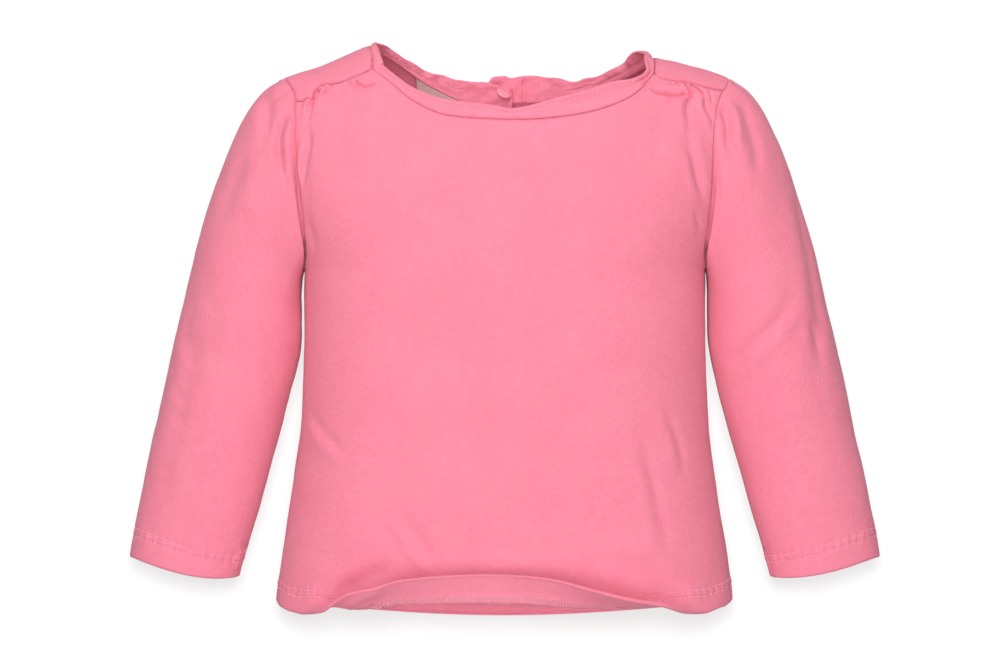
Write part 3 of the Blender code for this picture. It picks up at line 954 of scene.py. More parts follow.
def tubes(name: str, centres: Array, normals: Array, radii: Array, material: bpy.types.Material,
          sides: int = 6) -> bpy.types.Object:
    """Separate closed tubes, such as the stitches of a row.

    Args:
        name: The piece's name.
        centres: Points along each tube: tube, point, xyz.
        normals: The cloth's normal at each point.
        radii: The tube's radius at each point.
        material: Its material.
        sides: Sides of its section, an even number.

    Returns:
        The object.
    """
    count, length = centres.shape[:2]
    tangent = unit(np.gradient(centres, axis=1))
    sideways = unit(np.cross(tangent, normals))
    upward = np.cross(sideways, tangent)
    around = np.linspace(0, 2 * math.pi, sides, endpoint=False)
    ring = np.cos(around)[:, None] * sideways[:, :, None] + np.sin(around)[:, None] * upward[:, :, None]
    points = centres[:, :, None] + ring * radii[..., None, None]
    step = np.linalg.norm(np.diff(centres, axis=1), axis=2).cumsum(axis=1)
    along = np.insert(step, 0, 0, axis=1)[..., None] + np.zeros(sides)
    places = np.stack([along, around * radii[..., None] + 0 * along], axis=-1).reshape(-1, 2) * MM
    faces = tube_faces(count, length, sides)[:, ::-1]
    return build_mesh(name, points.reshape(-1, 3), faces, material, places)


@dataclass(frozen=True)
class StitchRow:
    """A row of separate straight stitches that lie on the cloth.

    Attributes:
        stitch: A stitch's length.
        gap: The length between two stitches.
        radius: The thread's radius.
        lift: How far the thread's middle stands off the cloth.
    """

    stitch: float = 1.45
    gap: float = 1.05
    radius: float = 0.32
    lift: float = 0.2

    def centres(self, path: Array, normals: Array) -> tuple[Array, Array, Array]:
        """Where the stitches run.

        Args:
            path: Points along the row.
            normals: The cloth's normals there.

        Returns:
            The tubes' points, normals and radii.
        """
        lengths = lengths_along(path)
        pitch = self.stitch + self.gap
        count = max(int(lengths[-1] / pitch), 1)
        share = np.linspace(0, 1, 6)
        at = (np.arange(count)[:, None] + 0.15) * pitch + share * self.stitch
        at *= lengths[-1] / (count * pitch)
        centres = interpolate(at, lengths, path)
        facing = unit(interpolate(at, lengths, normals))
        arch = np.sin(math.pi * np.clip(share, 0.02, 0.98)) ** 0.5
        centres = centres + facing * ((self.lift + self.radius) * arch - self.radius)[None, :, None]
        radii = np.broadcast_to(self.radius * (0.55 + 0.45 * arch), at.shape)
        return centres, facing, radii


@dataclass(frozen=True)
class Zigzag:
    """A thread that runs to and fro over a seam on the wrong side.

    Attributes:
        reach: Half of its width.
        pitch: The length of one to-and-fro.
        radius: The thread's radius.
    """

    reach: float = 2.1
    pitch: float = 1.5
    radius: float = 0.23

    def centres(self, path: Array, normals: Array) -> tuple[Array, Array, Array]:
        """Where the thread runs.

        Args:
            path: Points along the seam.
            normals: The cloth's normals there.

        Returns:
            The one tube's points, normals and radii.
        """
        lengths = lengths_along(path)
        turns = int(lengths[-1] / self.pitch)
        at = np.linspace(0, lengths[-1], turns * 8)
        centre = interpolate(at, lengths, path)
        facing = unit(interpolate(at, lengths, normals))
        sideways = unit(np.cross(np.gradient(centre, axis=0), facing))
        phase = at / lengths[-1] * turns * 2 * math.pi
        uneven = 1 + 0.2 * np.sin(phase * 0.173) + 0.12 * np.sin(phase * 0.417)
        swing = np.sin(phase + 0.5 * np.sin(phase)) * self.reach * uneven
        lift = self.radius * (0.7 + 0.5 * np.cos(2 * phase))
        centre = centre + sideways * swing[:, None] + facing * lift[:, None]
        return centre[None], facing[None], np.full((1, len(at)), self.radius)


def ride(piece: bpy.types.Object, slot: str, *nodes: str) -> bpy.types.Object:
    """Puts a piece on the garment's only body.

    Args:
        piece: The piece.
        slot: Its material's slot. Not used.
        nodes: The CAD nodes that it stands for, if any.

    Returns:
        The piece.
    """
    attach(piece, "root")
    if nodes:
        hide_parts(*nodes)
    log.info("%s: %d faces", piece.name, len(piece.data.polygons))
    return piece


# ---------------------------------------------------------------- the body's form


class BodyForm:
    """The filled-out body without sleeves, by share across and height or turn over the shoulder."""

    def crest(self, x: Array) -> Array:
        """The shoulder crest's height, as its cloth drapes."""
        return CREST.at("z", np.abs(x)) + CREST_DRAPE.at("lift", x)

    def fullness(self, across: Array) -> Array:
        """The share of its depth that the body keeps at this share of its half width."""
        return (1 - np.abs(np.clip(across, -1, 1)) ** ROUNDNESS) ** (1 / ROUNDNESS)

    def lower(self, across: Array, z: Array, face: Face) -> Array:
        """Points below the underarm.

        Args:
            across: Shares of the half width, -1 to 1.
            z: Heights.
            face: Front or back.

        Returns:
            The points.
        """
        across, z = np.broadcast_arrays(across, z)
        depth = face.value * BODY.at("half_depth", z) * self.fullness(across)
        return np.stack([across * BODY.at("half_width", z), depth, z], axis=-1)

    def upper(self, across: Array, turn: Array) -> Array:
        """Points above the underarm.

        Args:
            across: Shares of the half width, -1 to 1.
            turn: Degrees, from 0 at the back over the crest to 180 in front.

        Returns:
            The points.
        """
        across, turn = np.broadcast_arrays(across, turn)
        x = across * ARMHOLE.at("half_width", 90 - np.abs(90 - turn))
        angle = np.radians(turn)
        height = CHEST + (self.crest(x) - CHEST) * np.sin(angle)
        return np.stack([x, CHEST_DEPTH * self.fullness(across) * np.cos(angle), height], axis=-1)

    def upper_normal(self, across: Array, turn: Array) -> Array:
        """Outward normals above the underarm.

        Args:
            across: Shares of the half width, -1 to 1.
            turn: Degrees over the shoulder.

        Returns:
            Unit normals.
        """
        spread = np.arcsin(np.clip(across, -1, 1))
        step = 0.01
        low = np.clip(spread - step, -math.pi / 2, math.pi / 2)
        high = np.clip(spread + step, -math.pi / 2, math.pi / 2)
        sideways = self.upper(np.sin(high), turn) - self.upper(np.sin(low), turn)
        over = self.upper(across, np.minimum(turn + 0.5, 180)) - self.upper(across, np.maximum(turn - 0.5, 0))
        return unit(np.cross(over, sideways))

    def front_place(self, x: Array, z: Array) -> tuple[Array, Array]:
        """Finds points of the front above the underarm.

        Args:
            x: Their x.
            z: Their heights.

        Returns:
            Their shares across and their turns.
        """
        share = (z - CHEST) / (self.crest(x) - CHEST)
        turn = np.degrees(np.arcsin(np.clip(share, -1, 1)))
        return x / ARMHOLE.at("half_width", turn), 180 - turn

    def turn_place(self, x: Array, turn: Array) -> tuple[Array, Array]:
        """(across, turn) of points given by x and their turn over the shoulder."""
        return x / ARMHOLE.at("half_width", 90 - np.abs(90 - turn)), turn

    def armhole_place(self, side: Side, turn: Array) -> tuple[Array, Array]:
        """Finds points of an armhole's seam.

        Args:
            side: Left or right.
            turn: Their turns.

        Returns:
            Their shares across and their turns.
        """
        fold = 90 - np.abs(90 - turn)
        x = side.value * ARMHOLE.at(side.name.lower(), fold)
        return x / ARMHOLE.at("half_width", fold), turn

    def even_turns(self, side: Side, start: float, end: float, shares: Array) -> Array:
        """Spreads places along an armhole's seam.

        Args:
            side: Left or right.
            start: The first turn.
            end: The last one.
            shares: The places, as shares of the seam's length between them.

        Returns:
            Their turns.
        """
        turns = np.linspace(start, end, 400)
        seam = self.upper(*self.armhole_place(side, turns))
        lengths = lengths_along(seam)
        return np.interp(shares, lengths / lengths[-1], turns)

    def on_front(self, x: Array, z: Array) -> Array:
        """Points of the front.

        Args:
            x: Their x.
            z: Their heights.

        Returns:
            The points.
        """
        low = self.lower(np.clip(x / BODY.at("half_width", z), -1, 1), np.minimum(z, CHEST), Face.FRONT)
        high = self.upper(*self.front_place(x, np.maximum(z, CHEST)))
        return np.where((z > CHEST)[..., None], high, low)

    def on_back(self, x: Array, z: Array) -> Array:
        """Points of the back that are given by x and z."""
        return self.on_front(x, z) * [1, -1, 1]

    def chest_across(self, places: Array, face: Face) -> Array:
        """Where columns lie at the underarm. The back's two middle ones are its slit's edges.

        Args:
            places: The columns, -1 to 1.
            face: Front or back.

        Returns:
            Their shares across.
        """
        across = np.sin(np.radians(90 * places))
        if face is Face.FRONT:
            return across
        side = np.where(places < 0, -1, 1)
        beside_slit = np.maximum(1 - np.abs(places) * HALF_COLUMNS, 0)
        return across + beside_slit * (SLIT_PLACE + side * SLIT_HALF) / ARMHOLE.at("half_width", 0)

    def top_place(self, places: Array, face: Face) -> tuple[Array, Array]:
        """Finds a panel's top edge: its neckline, then the forward shoulder seam.

        Args:
            places: The columns, -1 to 1.
            face: Front or back.

        Returns:
            Their shares across and their turns.
        """
        side = np.where(places < 0, -1, 1)
        share = np.abs(places)
        beyond = np.clip((share - NECK_SHARE) / (1 - NECK_SHARE), 0, 1)
        seam = self.front_place(
            side * SHOULDER_SEAM.sided("x", beyond, side), SHOULDER_SEAM.sided("z", beyond, side)
        )
        along = np.clip(share / NECK_SHARE, 0, 1)
        if face is Face.FRONT:
            neck = self.front_place(
                side * NECK_FRONT.sided("x", along, side), NECK_FRONT.sided("z", along, side)
            )
        else:
            neck = self.turn_place(
                side * NECK_BACK.sided("x", along, side), NECK_BACK.sided("turn", along, side)
            )
        return tuple(np.where(share > NECK_SHARE, s, n) for s, n in zip(seam, neck))

    def upper_patch(self, places: Array, face: Face, shares: Array) -> tuple[Array, Array]:
        """A panel above the underarm, between chest, armholes and top edge.

        Args:
            places: Its columns, -1 to 1.
            face: Front or back.
            shares: Its rows, as shares of the way up.

        Returns:
            The grid and its normals.
        """
        chest_turn = 180.0 if face is Face.FRONT else 0.0
        top_across, top_turn = self.top_place(places, face)
        chest, top = np.arcsin(self.chest_across(places, face)), np.arcsin(top_across)
        narrowing = np.empty((len(shares), len(places)))
        shift = np.empty_like(narrowing)
        for side in Side:
            end = float(self.top_place(np.array([float(side.value)]), face)[1][0])
            turns = self.even_turns(side, chest_turn, end, shares)
            across = np.abs(self.armhole_place(side, turns)[0])
            last = np.arcsin(across[-1])
            mine = places * side.value >= 0
            full = math.pi / 2 + shares * (last - math.pi / 2)
            narrowing[:, mine] = (np.arcsin(across) / full)[:, None]
            shift[:, mine] = (turns - (chest_turn + shares * (end - chest_turn)))[:, None]
        up = shares[:, None]
        across = np.sin((chest + up * (top - chest)) * narrowing)
        turn = chest_turn + up * (top_turn - chest_turn) + shift * np.abs(places) ** 4
        return self.upper(across, turn), self.upper_normal(across, turn)


FORM = BodyForm()


def half_and_half(neck: int, shoulder: int) -> Array:
    """Spreads a panel's columns, with the neck points on a column of each side.

    Args:
        neck: Columns from the centre to a neck point.
        shoulder: Columns along a shoulder seam.

    Returns:
        The columns' places, -1 to 1.
    """
    t = np.linspace(0, 1, shoulder + 1)
    half = np.concatenate([
        np.linspace(0, NECK_SHARE, neck, endpoint=False),
        NECK_SHARE + (1 - NECK_SHARE) * (1 - (1 - t) ** 1.25),
    ])
    return np.concatenate([-half[:0:-1], half])


# ---------------------------------------------------------------- creases

FRONT_CREASES = (
    # left shoulder: a pleat where the seam drops, a second one beside it, and what falls from them
    Crease(((-97.7, -16.4), (-99.8, -19.4), (-100.6, -21.7), (-101.3, -23.6)), 0.9, 1.8, -0.5, (0.1, 0.2)),
    Crease(((-101.2, -22.6), (-101.9, -25.8), (-104.4, -27.6)), 0.9, 1.2, -0.6, (0.1, 0.3)),
    Crease(((-91.4, -15.8), (-92.5, -18.3), (-96.2, -20.9)), 0.9, 2.1, 0.5, (0.1, 0.2)),
    Crease(((-97.5, -17.7), (-99.8, -22.5), (-102.0, -28.5), (-103.4, -38.2)), 1.3, 3.2, 0.6, (0.1, 0.8)),
    Crease(((-100.7, -38.8), (-103.2, -52.0), (-105.4, -65.5), (-106.0, -73.0)), 1.9, 1.8, 0.5, (0.3, 0.3)),
    Crease(((-79.8, -13.0), (-78.5, -14.8), (-75.4, -17.1), (-72.7, -18.2), (-70.4, -17.1), (-67.4, -15.3)),
           0.8, 2.1, 0.6, (0.15, 0.15)),
    Crease(((-86.0, -16.0), (-86.5, -20.0), (-88.0, -25.0)), 0.9, 0.5, 0.4),
    Crease(((-88.0, -24.0), (-84.0, -40.0), (-83.0, -58.0)), 4.0, 0.6, 0.4),
    Crease(((-60.0, -22.0), (-66.0, -30.0), (-74.0, -36.0)), 3.0, 0.5, 0.4),
    # right shoulder: a puff between the seam and a roll, with small gathers and two deep pleats
    Crease(((80.0, -17.2), (88.0, -18.2), (95.0, -18.0)), 2.6, -1.3, 0.0, (0.3, 0.3)),
    Crease(((76.1, -17.2), (79.4, -20.6), (85.0, -21.9), (91.5, -22.3), (96.2, -21.2), (98.6, -20.4)),
           1.3, 2.1, 0.6, (0.25, 0.2)),
    Crease(((90.6, -14.8), (90.7, -17.8)), 0.7, 1.1, 0.5, (0.1, 0.4)),
    Crease(((86.8, -15.2), (87.0, -17.2)), 0.7, 0.8, 0.5, (0.1, 0.4)),
    Crease(((94.3, -15.4), (96.4, -18.4), (98.0, -20.8), (98.1, -23.6)), 1.0, 3.4, 0.5, (0.1, 0.3)),
    Crease(((97.4, -15.8), (100.9, -18.2), (103.6, -20.6), (105.2, -24.1)), 1.0, 3.0, 0.5, (0.15, 0.35)),
    Crease(((107.2, -18.4), (108.5, -22.5), (108.4, -28.8)), 0.9, 1.1, 0.5, (0.1, 0.6)),
    Crease(((98.1, -20.6), (96.0, -28.7), (96.3, -38.4), (96.6, -48.0)), 2.2, 1.5, 0.6, (0.1, 0.85)),
    Crease(((105.9, -22.5), (105.6, -27.5), (108.4, -33.7), (109.6, -42.5)), 1.6, 1.7, 0.6, (0.1, 0.7)),
    Crease(((94.8, -37.8), (98.4, -57.1), (103.9, -76.7)), 2.8, 1.1, -0.6),
    Crease(((84.0, -23.5), (80.0, -38.0), (78.0, -60.0)), 4.0, 0.6, -0.4),
    Crease(((98.1, -49.4), (101.7, -68.7), (105.0, -80.9)), 2.4, 0.9, 0.5),
    Crease(((98.6, -82.3), (103.2, -93.4)), 2.0, 0.9, 0.4),
    Crease(((-103.5, -86.0), (-100.0, -96.0), (-99.0, -107.0)), 2.6, 0.8, 0.4),
    # body
    Crease(((-57.7, -235.2), (-47.9, -249.0), (-35.0, -268.1)), 2.6, 2.0, 0.8),
    Crease(((-48.9, -253.2), (-41.7, -261.4), (-37.0, -265.0)), 1.9, 1.2, 0.6),
    Crease(((-104.0, -184.0), (-99.2, -192.5), (-91.0, -202.0), (-79.2, -211.1)), 2.6, 1.1, 0.8),
    Crease(((5.3, -198.8), (15.6, -216.9), (23.8, -238.6), (32.6, -256.2)), 2.8, 1.6, 0.7),
    Crease(((-14.8, -222.0), (-7.6, -237.5), (-2.5, -253.0)), 3.0, 0.9, 0.6),
    Crease(((65.8, -190.3), (73.7, -209.5), (80.5, -238.1), (86.8, -265.7)), 3.4, 1.2, 0.7),
    Crease(((81.1, -180.2), (90.1, -202.0), (94.5, -222.9)), 3.0, 1.0, 0.7),
    Crease(((29.0, -223.6), (34.0, -226.0), (39.3, -228.8)), 3.0, 0.5, 0.5),
    Crease(((-93.0, -283.7), (-85.0, -280.7), (-73.4, -273.6), (-54.1, -265.6)), 5.2, 3.2, 0.3),
    Crease(((98.0, -279.0), (84.0, -275.0), (70.0, -268.0), (52.0, -264.0)), 5.0, 1.5, 0.3),
    Crease(((-20.0, -259.0), (0.0, -258.0), (22.0, -259.0)), 5.0, 0.8, 0.3),
)

BACK_CREASES = (
    Crease(((62.0, -240.0), (50.0, -252.0), (38.0, -268.0)), 3.4, 0.8, 0.6),
    Crease(((-70.0, -205.0), (-78.0, -224.0), (-84.0, -246.0), (-86.0, -262.0)), 3.4, 0.8, 0.6),
    Crease(((-88.0, -178.0), (-93.0, -192.0), (-96.0, -208.0)), 3.0, 0.7, 0.6),
    Crease(((100.0, -176.0), (96.0, -190.0), (88.0, -204.0)), 3.0, 0.6, 0.5),
    Crease(((-18.0, -226.0), (-24.0, -240.0), (-27.0, -254.0)), 2.8, 0.6, 0.6),
    Crease(((4.8, -86.0), (6.5, -104.0), (5.0, -128.0)), 5.0, 0.7, 0.4, (0.15, 0.7)),
    Crease(((12.0, -52.0), (22.0, -62.0), (34.0, -66.0)), 3.2, 0.6, 0.5),
    Crease(((-14.0, -50.0), (-24.0, -57.0), (-36.0, -59.0)), 3.0, 0.5, 0.5),
    Crease(((-92.0, -46.0), (-98.0, -66.0), (-103.0, -84.0)), 3.4, 0.7, 0.5),
    Crease(((94.0, -52.0), (99.0, -70.0), (103.0, -88.0)), 3.4, 0.7, 0.5),
)

LEFT_SLEEVE_CREASES = (
    Crease(((49, 0.06), (52, 0.55), (57, 0.85), (69, 1.05), (82, 1.12), (96, 1.08)),
           2.3, 3.0, -0.6, (0.1, 0.6)),
    Crease(((-1, 1.00), (37, 1.40), (52, 1.75), (63, 2.40)), 4.0, 1.6, 0.4),
    Crease(((42, 2.55), (44, 3.70), (44, 4.75)), 5.0, 1.1, -0.5),
    Crease(((4, 0.15), (6, 0.9), (4, 1.9)), 3.0, 0.9, 0.4, (0.1, 0.7)),
    Crease(((30, 0.10), (28, 0.8), (24, 1.6)), 2.2, 0.8, -0.4, (0.1, 0.7)),
    Crease(((31, 5.50), (32, 6.10), (46, 7.65), (52, 8.40), (52, 9.25), (53, 10.20), (57, 10.65)),
           4.6, 1.2, 0.5),
    Crease(((112, 6.30), (128, 7.0), (146, 7.5)), 3.0, 0.6, 0.5),
    Crease(((92, 1.0), (104, 1.5), (120, 2.2)), 3.0, 0.7, 0.4),
    Crease(((304, 0.15), (300, 0.9), (290, 1.8)), 3.0, 1.5, 0.5, (0.1, 0.5)),
    Crease(((335, 0.15), (330, 1.2), (322, 2.4)), 4.0, 1.0, 0.4, (0.1, 0.6)),
    Crease(((262, 6.6), (240, 7.0), (222, 7.6)), 3.4, 0.7, 0.5),
    Crease(((322, 5.2), (312, 7.2), (306, 9.6), (300, 10.8)), 5.0, 0.8, 0.4),
    Crease(((150, 10.84), (160, 11.11), (172, 11.04)), 1.1, 1.3, 0.7, (0.5, 0.1)),
    Crease(((161, 11.22), (163, 11.60), (164, 11.96)), 0.9, 1.2, 0.6, (0.1, 0.4)),
)

RIGHT_SLEEVE_CREASES = (
    Crease(((44, 0.15), (50, 0.55), (57, 0.75), (70, 1.25), (76, 2.30)), 2.4, 2.8, -0.6, (0.1, 0.5)),
    Crease(((25, 0.50), (36, 1.45), (48, 2.25), (62, 2.9)), 3.8, 1.6, 0.4),
    Crease(((78, 0.15), (98, 0.45), (117, 0.60)), 2.0, 1.2, 0.4, (0.2, 0.4)),
    Crease(((8, 0.15), (10, 0.9), (12, 1.8)), 3.0, 0.9, 0.4, (0.1, 0.7)),
    Crease(((7, 3.85), (24, 4.75), (32, 5.90), (38, 7.00), (57, 8.50), (61, 9.85), (62, 10.30)),
           4.6, 1.2, 0.5),
    Crease(((149, 7.00), (106, 6.65), (76, 6.40), (56, 5.95)), 3.2, 1.6, 0.6),
    Crease(((52, 6.90), (47, 7.70), (48, 8.30)), 2.8, 1.3, 0.5),
    Crease(((300, 0.15), (298, 0.9), (288, 1.8)), 3.0, 1.5, 0.5, (0.1, 0.5)),
    Crease(((332, 0.15), (328, 1.2), (320, 2.4)), 4.0, 1.0, 0.4, (0.1, 0.6)),
    Crease(((258, 6.3), (238, 6.8), (220, 7.5)), 3.4, 0.8, 0.5),
    Crease(((318, 5.0), (310, 7.0), (304, 9.4), (302, 10.6)), 5.0, 0.8, 0.4),
    Crease(((152, 10.92), (162, 11.18), (172, 11.12)), 1.1, 1.0, 0.7, (0.5, 0.1)),
    Crease(((163, 11.26), (164, 11.60), (166, 11.96)), 0.9, 0.8, 0.6, (0.1, 0.4)),
)


# ---------------------------------------------------------------- panels


@dataclass
class BodyPanel:
    """What the front and the back share: a grid from the hem up to the neck and shoulder seams.

    Attributes:
        face: Front or back.
        cloth: The wall of single cloth.
        hem_cloth: The wall where the hem is turned up.
        hem_depth: How far it is turned up.
        hem_rise: How far the turned hem stands proud.
        fold_radius: How far up the hem's fold is round.
        needles: How far below the raw edge of the turned cloth its needle rows run.
        looper: How far below it the looper row runs inside.
        needle_sink: How deep a needle row lies.
        pucker: Height of the hem's puckers.
        pucker_pitch: From one pucker to the next.
        zone: The length of cloth above the hem's edge that may curl.
        neck_columns: Columns from the centre to the neck point.
        shoulder_columns: Columns along the shoulder seam.
        zone_rows: Rows in the hem zone.
        body_rows: Rows from the hem zone to the underarm.
        upper_rows: Rows above the underarm.
        swell: Height of the cloth's slow undulation.
        swell_length: The usual length of a swell.
        swell_top: The height below which the swells start.
        swell_fade: How far down they reach their full height.
        grain: Height of the finer undulation.
        grain_length: Its usual length.
        seed: Which pattern of swells.
        seam_sink: How deep the cloth lies at its seams.
        outer: The points of the right side.
        normals: Their normals.
    """

    face: Face = Face.FRONT
    cloth: float = 1.2
    hem_cloth: float = 2.0
    hem_depth: float = 13.0
    hem_rise: float = 0.25
    fold_radius: float = 1.6
    needles: tuple[float, float] = (1.0, 4.5)
    looper: float = 2.6
    needle_sink: float = 0.35
    pucker: float = 0.22
    pucker_pitch: float = 5.2
    zone: float = 32.0
    neck_columns: int = 40
    shoulder_columns: int = 62
    zone_rows: int = 46
    body_rows: int = 58
    upper_rows: int = 120
    swell: float = 0.5
    swell_length: float = 60.0
    swell_top: float = -42.0
    swell_fade: float = 40.0
    grain: float = 0.10
    grain_length: float = 17.0
    seed: int = 11
    seam_sink: float = 1.2
    outer: Array = field(default=None, repr=False)
    normals: Array = field(default=None, repr=False)

    def hem_height(self, across: Array) -> Array:
        """The hem's height, lower at the centre than at the sides, its front corners sagging."""
        sag = SAG.at("sag", across) if self.face is Face.FRONT else -hill(across - 1, 0.03)
        return HEM_SIDE - HEM_DIP * (1 - across**2) - sag

    def zone_lengths(self) -> Array:
        """The hem zone's rows, by their length of cloth from the hem's edge."""
        return np.linspace(0, self.zone, self.zone_rows)

    def plain(self, zone: Array, zone_top: Array, places: Array) -> tuple[Array, Array]:
        """The panel before its relief.

        Args:
            zone: The hem zone's points.
            zone_top: The height of the zone's top in each column.
            places: The columns, -1 to 1.

        Returns:
            The grid and its outward normals.
        """
        up = np.linspace(0, 1, self.body_rows + 1)[1:, None]
        across = FORM.chest_across(places, self.face)
        body = FORM.lower(across, zone_top + (CHEST - zone_top) * up, self.face)
        below = np.concatenate([zone, body])
        shares_up = 1 - (1 - np.linspace(0, 1, self.upper_rows + 1)[1:]) ** 1.55
        above, above_normals = FORM.upper_patch(places, self.face, shares_up)
        return np.concatenate([below, above]), np.concatenate([grid_normals(below), above_normals])

    def edge_sink(self, grid: Array) -> Array:
        """How far the cloth sinks beside its seams.

        Args:
            grid: The cloth's points.

        Returns:
            The depth at each point.
        """
        across, up = arc_lengths(grid, 1), arc_lengths(grid, 0)
        depth = hill(across, 0.9) + hill(across[:, -1:] - across, 0.9) + hill(up[-1:] - up, 0.8)
        return np.minimum(depth, 1) * self.seam_sink

    def pull_back(self, grid: Array) -> Array:
        """Leaves a little over half of the seam's gap at the top and side edges.

        Args:
            grid: The cloth's points.

        Returns:
            The points, with those edges moved in.
        """
        grid = grid.copy()
        for edge, inside in ((grid[-1], grid[-2]), (grid[:, 0], grid[:, 1]), (grid[:, -1], grid[:, -2])):
            edge += unit(inside - edge) * SEAM_GAP * 0.55
        return grid

    def hem_relief(self, grid: Array) -> Array:
        """How far the turned hem stands proud, with its puckers, needle rows and round fold.

        Args:
            grid: The cloth's points.

        Returns:
            The height at each point.
        """
        lengths = self.zone_lengths()
        across = arc_lengths(grid[:1], 1)[0]
        below = self.turned() - lengths[:, None]
        double = self.hem_rise * ease((below + 1.0) / 2.0)
        pucker = self.pucker * np.sin(across * 2 * math.pi / self.pucker_pitch) * hill(below - 2.6, 3.0)
        wave = np.sin(across / 5.1) + np.sin(across / 3.3 + 1.0) + np.sin(across / 8.7 + 2.0)
        pucker = pucker + 0.16 * wave * hill(below - 3.0, 5.0)
        needles = self.needle_sink * sum(hill(below - needle, 0.9) for needle in self.needles)
        fold = self.fold_radius / 2 * rounding(lengths / self.fold_radius)[:, None]
        relief = np.zeros(grid.shape[:2])
        relief[: len(lengths)] = double + pucker - needles - fold
        return relief

    def dress(self, grid: Array, normals: Array, creases: tuple[Crease, ...], locate: Locate) -> Array:
        """Works the relief into the plain cloth, and keeps the points of its right side.

        Args:
            grid: The plain cloth's points.
            normals: Their outward normals.
            creases: The creases.
            locate: A function from x and z to points.

        Returns:
            The points of its wrong side.
        """
        relief = self.hem_relief(grid) - self.edge_sink(grid)
        fade = ease((self.swell_top - grid[..., 2]) / self.swell_fade)
        relief += self.swell * undulation(grid, self.swell_length, self.seed) * fade
        relief += self.grain * undulation(grid, self.grain_length, self.seed + 1)
        self.outer = self.pull_back(press(grid, normals, creases, locate) + normals * relief[..., None])
        self.normals = grid_normals(self.outer)
        return self.outer - normals * self.wall()[..., None]

    def turned(self) -> Array:
        """How far each column's hem is turned up."""
        return np.full(self.outer_columns(), self.hem_depth)

    def wall(self) -> Array:
        """The wall's thickness.

        Returns:
            It at each point: row, column.
        """
        wall = np.full((self.zone_rows + self.body_rows + self.upper_rows, self.outer_columns()), self.cloth)
        double = ease((self.turned() + 0.5 - self.zone_lengths()[:, None]) / 1.0)
        wall[: self.zone_rows] += (self.hem_cloth - self.cloth) * double
        return wall

    def outer_columns(self) -> int:
        """How many columns the grid has."""
        return 2 * (self.neck_columns + self.shoulder_columns) + (2 if self.face is Face.BACK else 1)

    def line_at(self, below: float, first: int = 0, last: int | None = None) -> tuple[Array, Array]:
        """A line along the hem.

        Args:
            below: How far below the turned cloth's raw edge.
            first: Its first column.
            last: The column after its last one.

        Returns:
            The outer points along the line and their normals.
        """
        row = (self.turned() - below) / self.zone * (self.zone_rows - 1)
        low, share = row.astype(int), (row % 1)[:, None]
        column = np.arange(len(row))
        points = self.outer[low, column] * (1 - share) + self.outer[low + 1, column] * share
        return points[first:last], self.normals[low, column][first:last]


@dataclass
class FrontPanel(BodyPanel):
    """The front: gathered under the shoulders, its hem curled out and up.

    Attributes:
        roll: Radius of the roll where the hem curls.
        drop: How much lower the hem hangs where it curls.
        turn_up: How much more of it is turned up there.
    """

    roll: float = 1.6
    drop: float = 2.6
    turn_up: float = 2.4

    def middle(self) -> Array:
        """1 in the middle columns, where the hem curls, and 0 towards the sides."""
        across = FORM.chest_across(half_and_half(self.neck_columns, self.shoulder_columns), self.face)
        return 1 - ease((np.abs(across) - 0.5) / 0.3)

    def turned(self) -> Array:
        """How far each column's hem is turned up."""
        return self.hem_depth + self.turn_up * self.middle()

    def curl(self, across: Array, lengths: Array) -> tuple[Array, Array]:
        """How far out and up the hem's cloth lies from its zone's top.

        Args:
            across: The columns' shares across.
            lengths: The rows' lengths from the edge.

        Returns:
            The offsets out and up: row, column.
        """
        angle = np.radians(np.maximum(CURL.at("angle", across), 0.0))
        centre = CURL.at("length", across)
        half = np.maximum(angle * self.roll / 2, 2.0)
        fine = np.linspace(self.zone, 0, 400)
        turned = angle[:, None] * ease((centre[:, None] + half[:, None] - fine) / (2 * half[:, None]))
        step = self.zone / 399
        out = np.cumsum(np.sin(turned), axis=1) * step
        up = -np.cumsum(np.cos(turned), axis=1) * step
        read = [[np.interp(lengths, fine[::-1], line[::-1]) for line in lines] for lines in (out, up)]
        return np.array(read[0]).T, np.array(read[1]).T

    def build(self, material: bpy.types.Material) -> bpy.types.Object:
        """Makes the panel.

        Args:
            material: Its material.

        Returns:
            The object.
        """
        places = half_and_half(self.neck_columns, self.shoulder_columns)
        across = FORM.chest_across(places, self.face)
        zone_top = self.hem_height(across) + self.zone - self.drop * self.middle()
        out, up = self.curl(across, self.zone_lengths())
        outward = unit(np.stack([across * 0.5, -np.ones_like(across), 0 * across], axis=-1))
        zone = FORM.lower(across, np.minimum(zone_top + up, zone_top), self.face)
        zone[..., 2] = zone_top + up
        grid, normals = self.plain(zone + outward * out[..., None], zone_top, places)
        inner = self.dress(grid, normals, FRONT_CREASES, FORM.on_front)
        return cloth_wall("front", self.outer, inner, flat_map(grid, len(places) // 2), material)


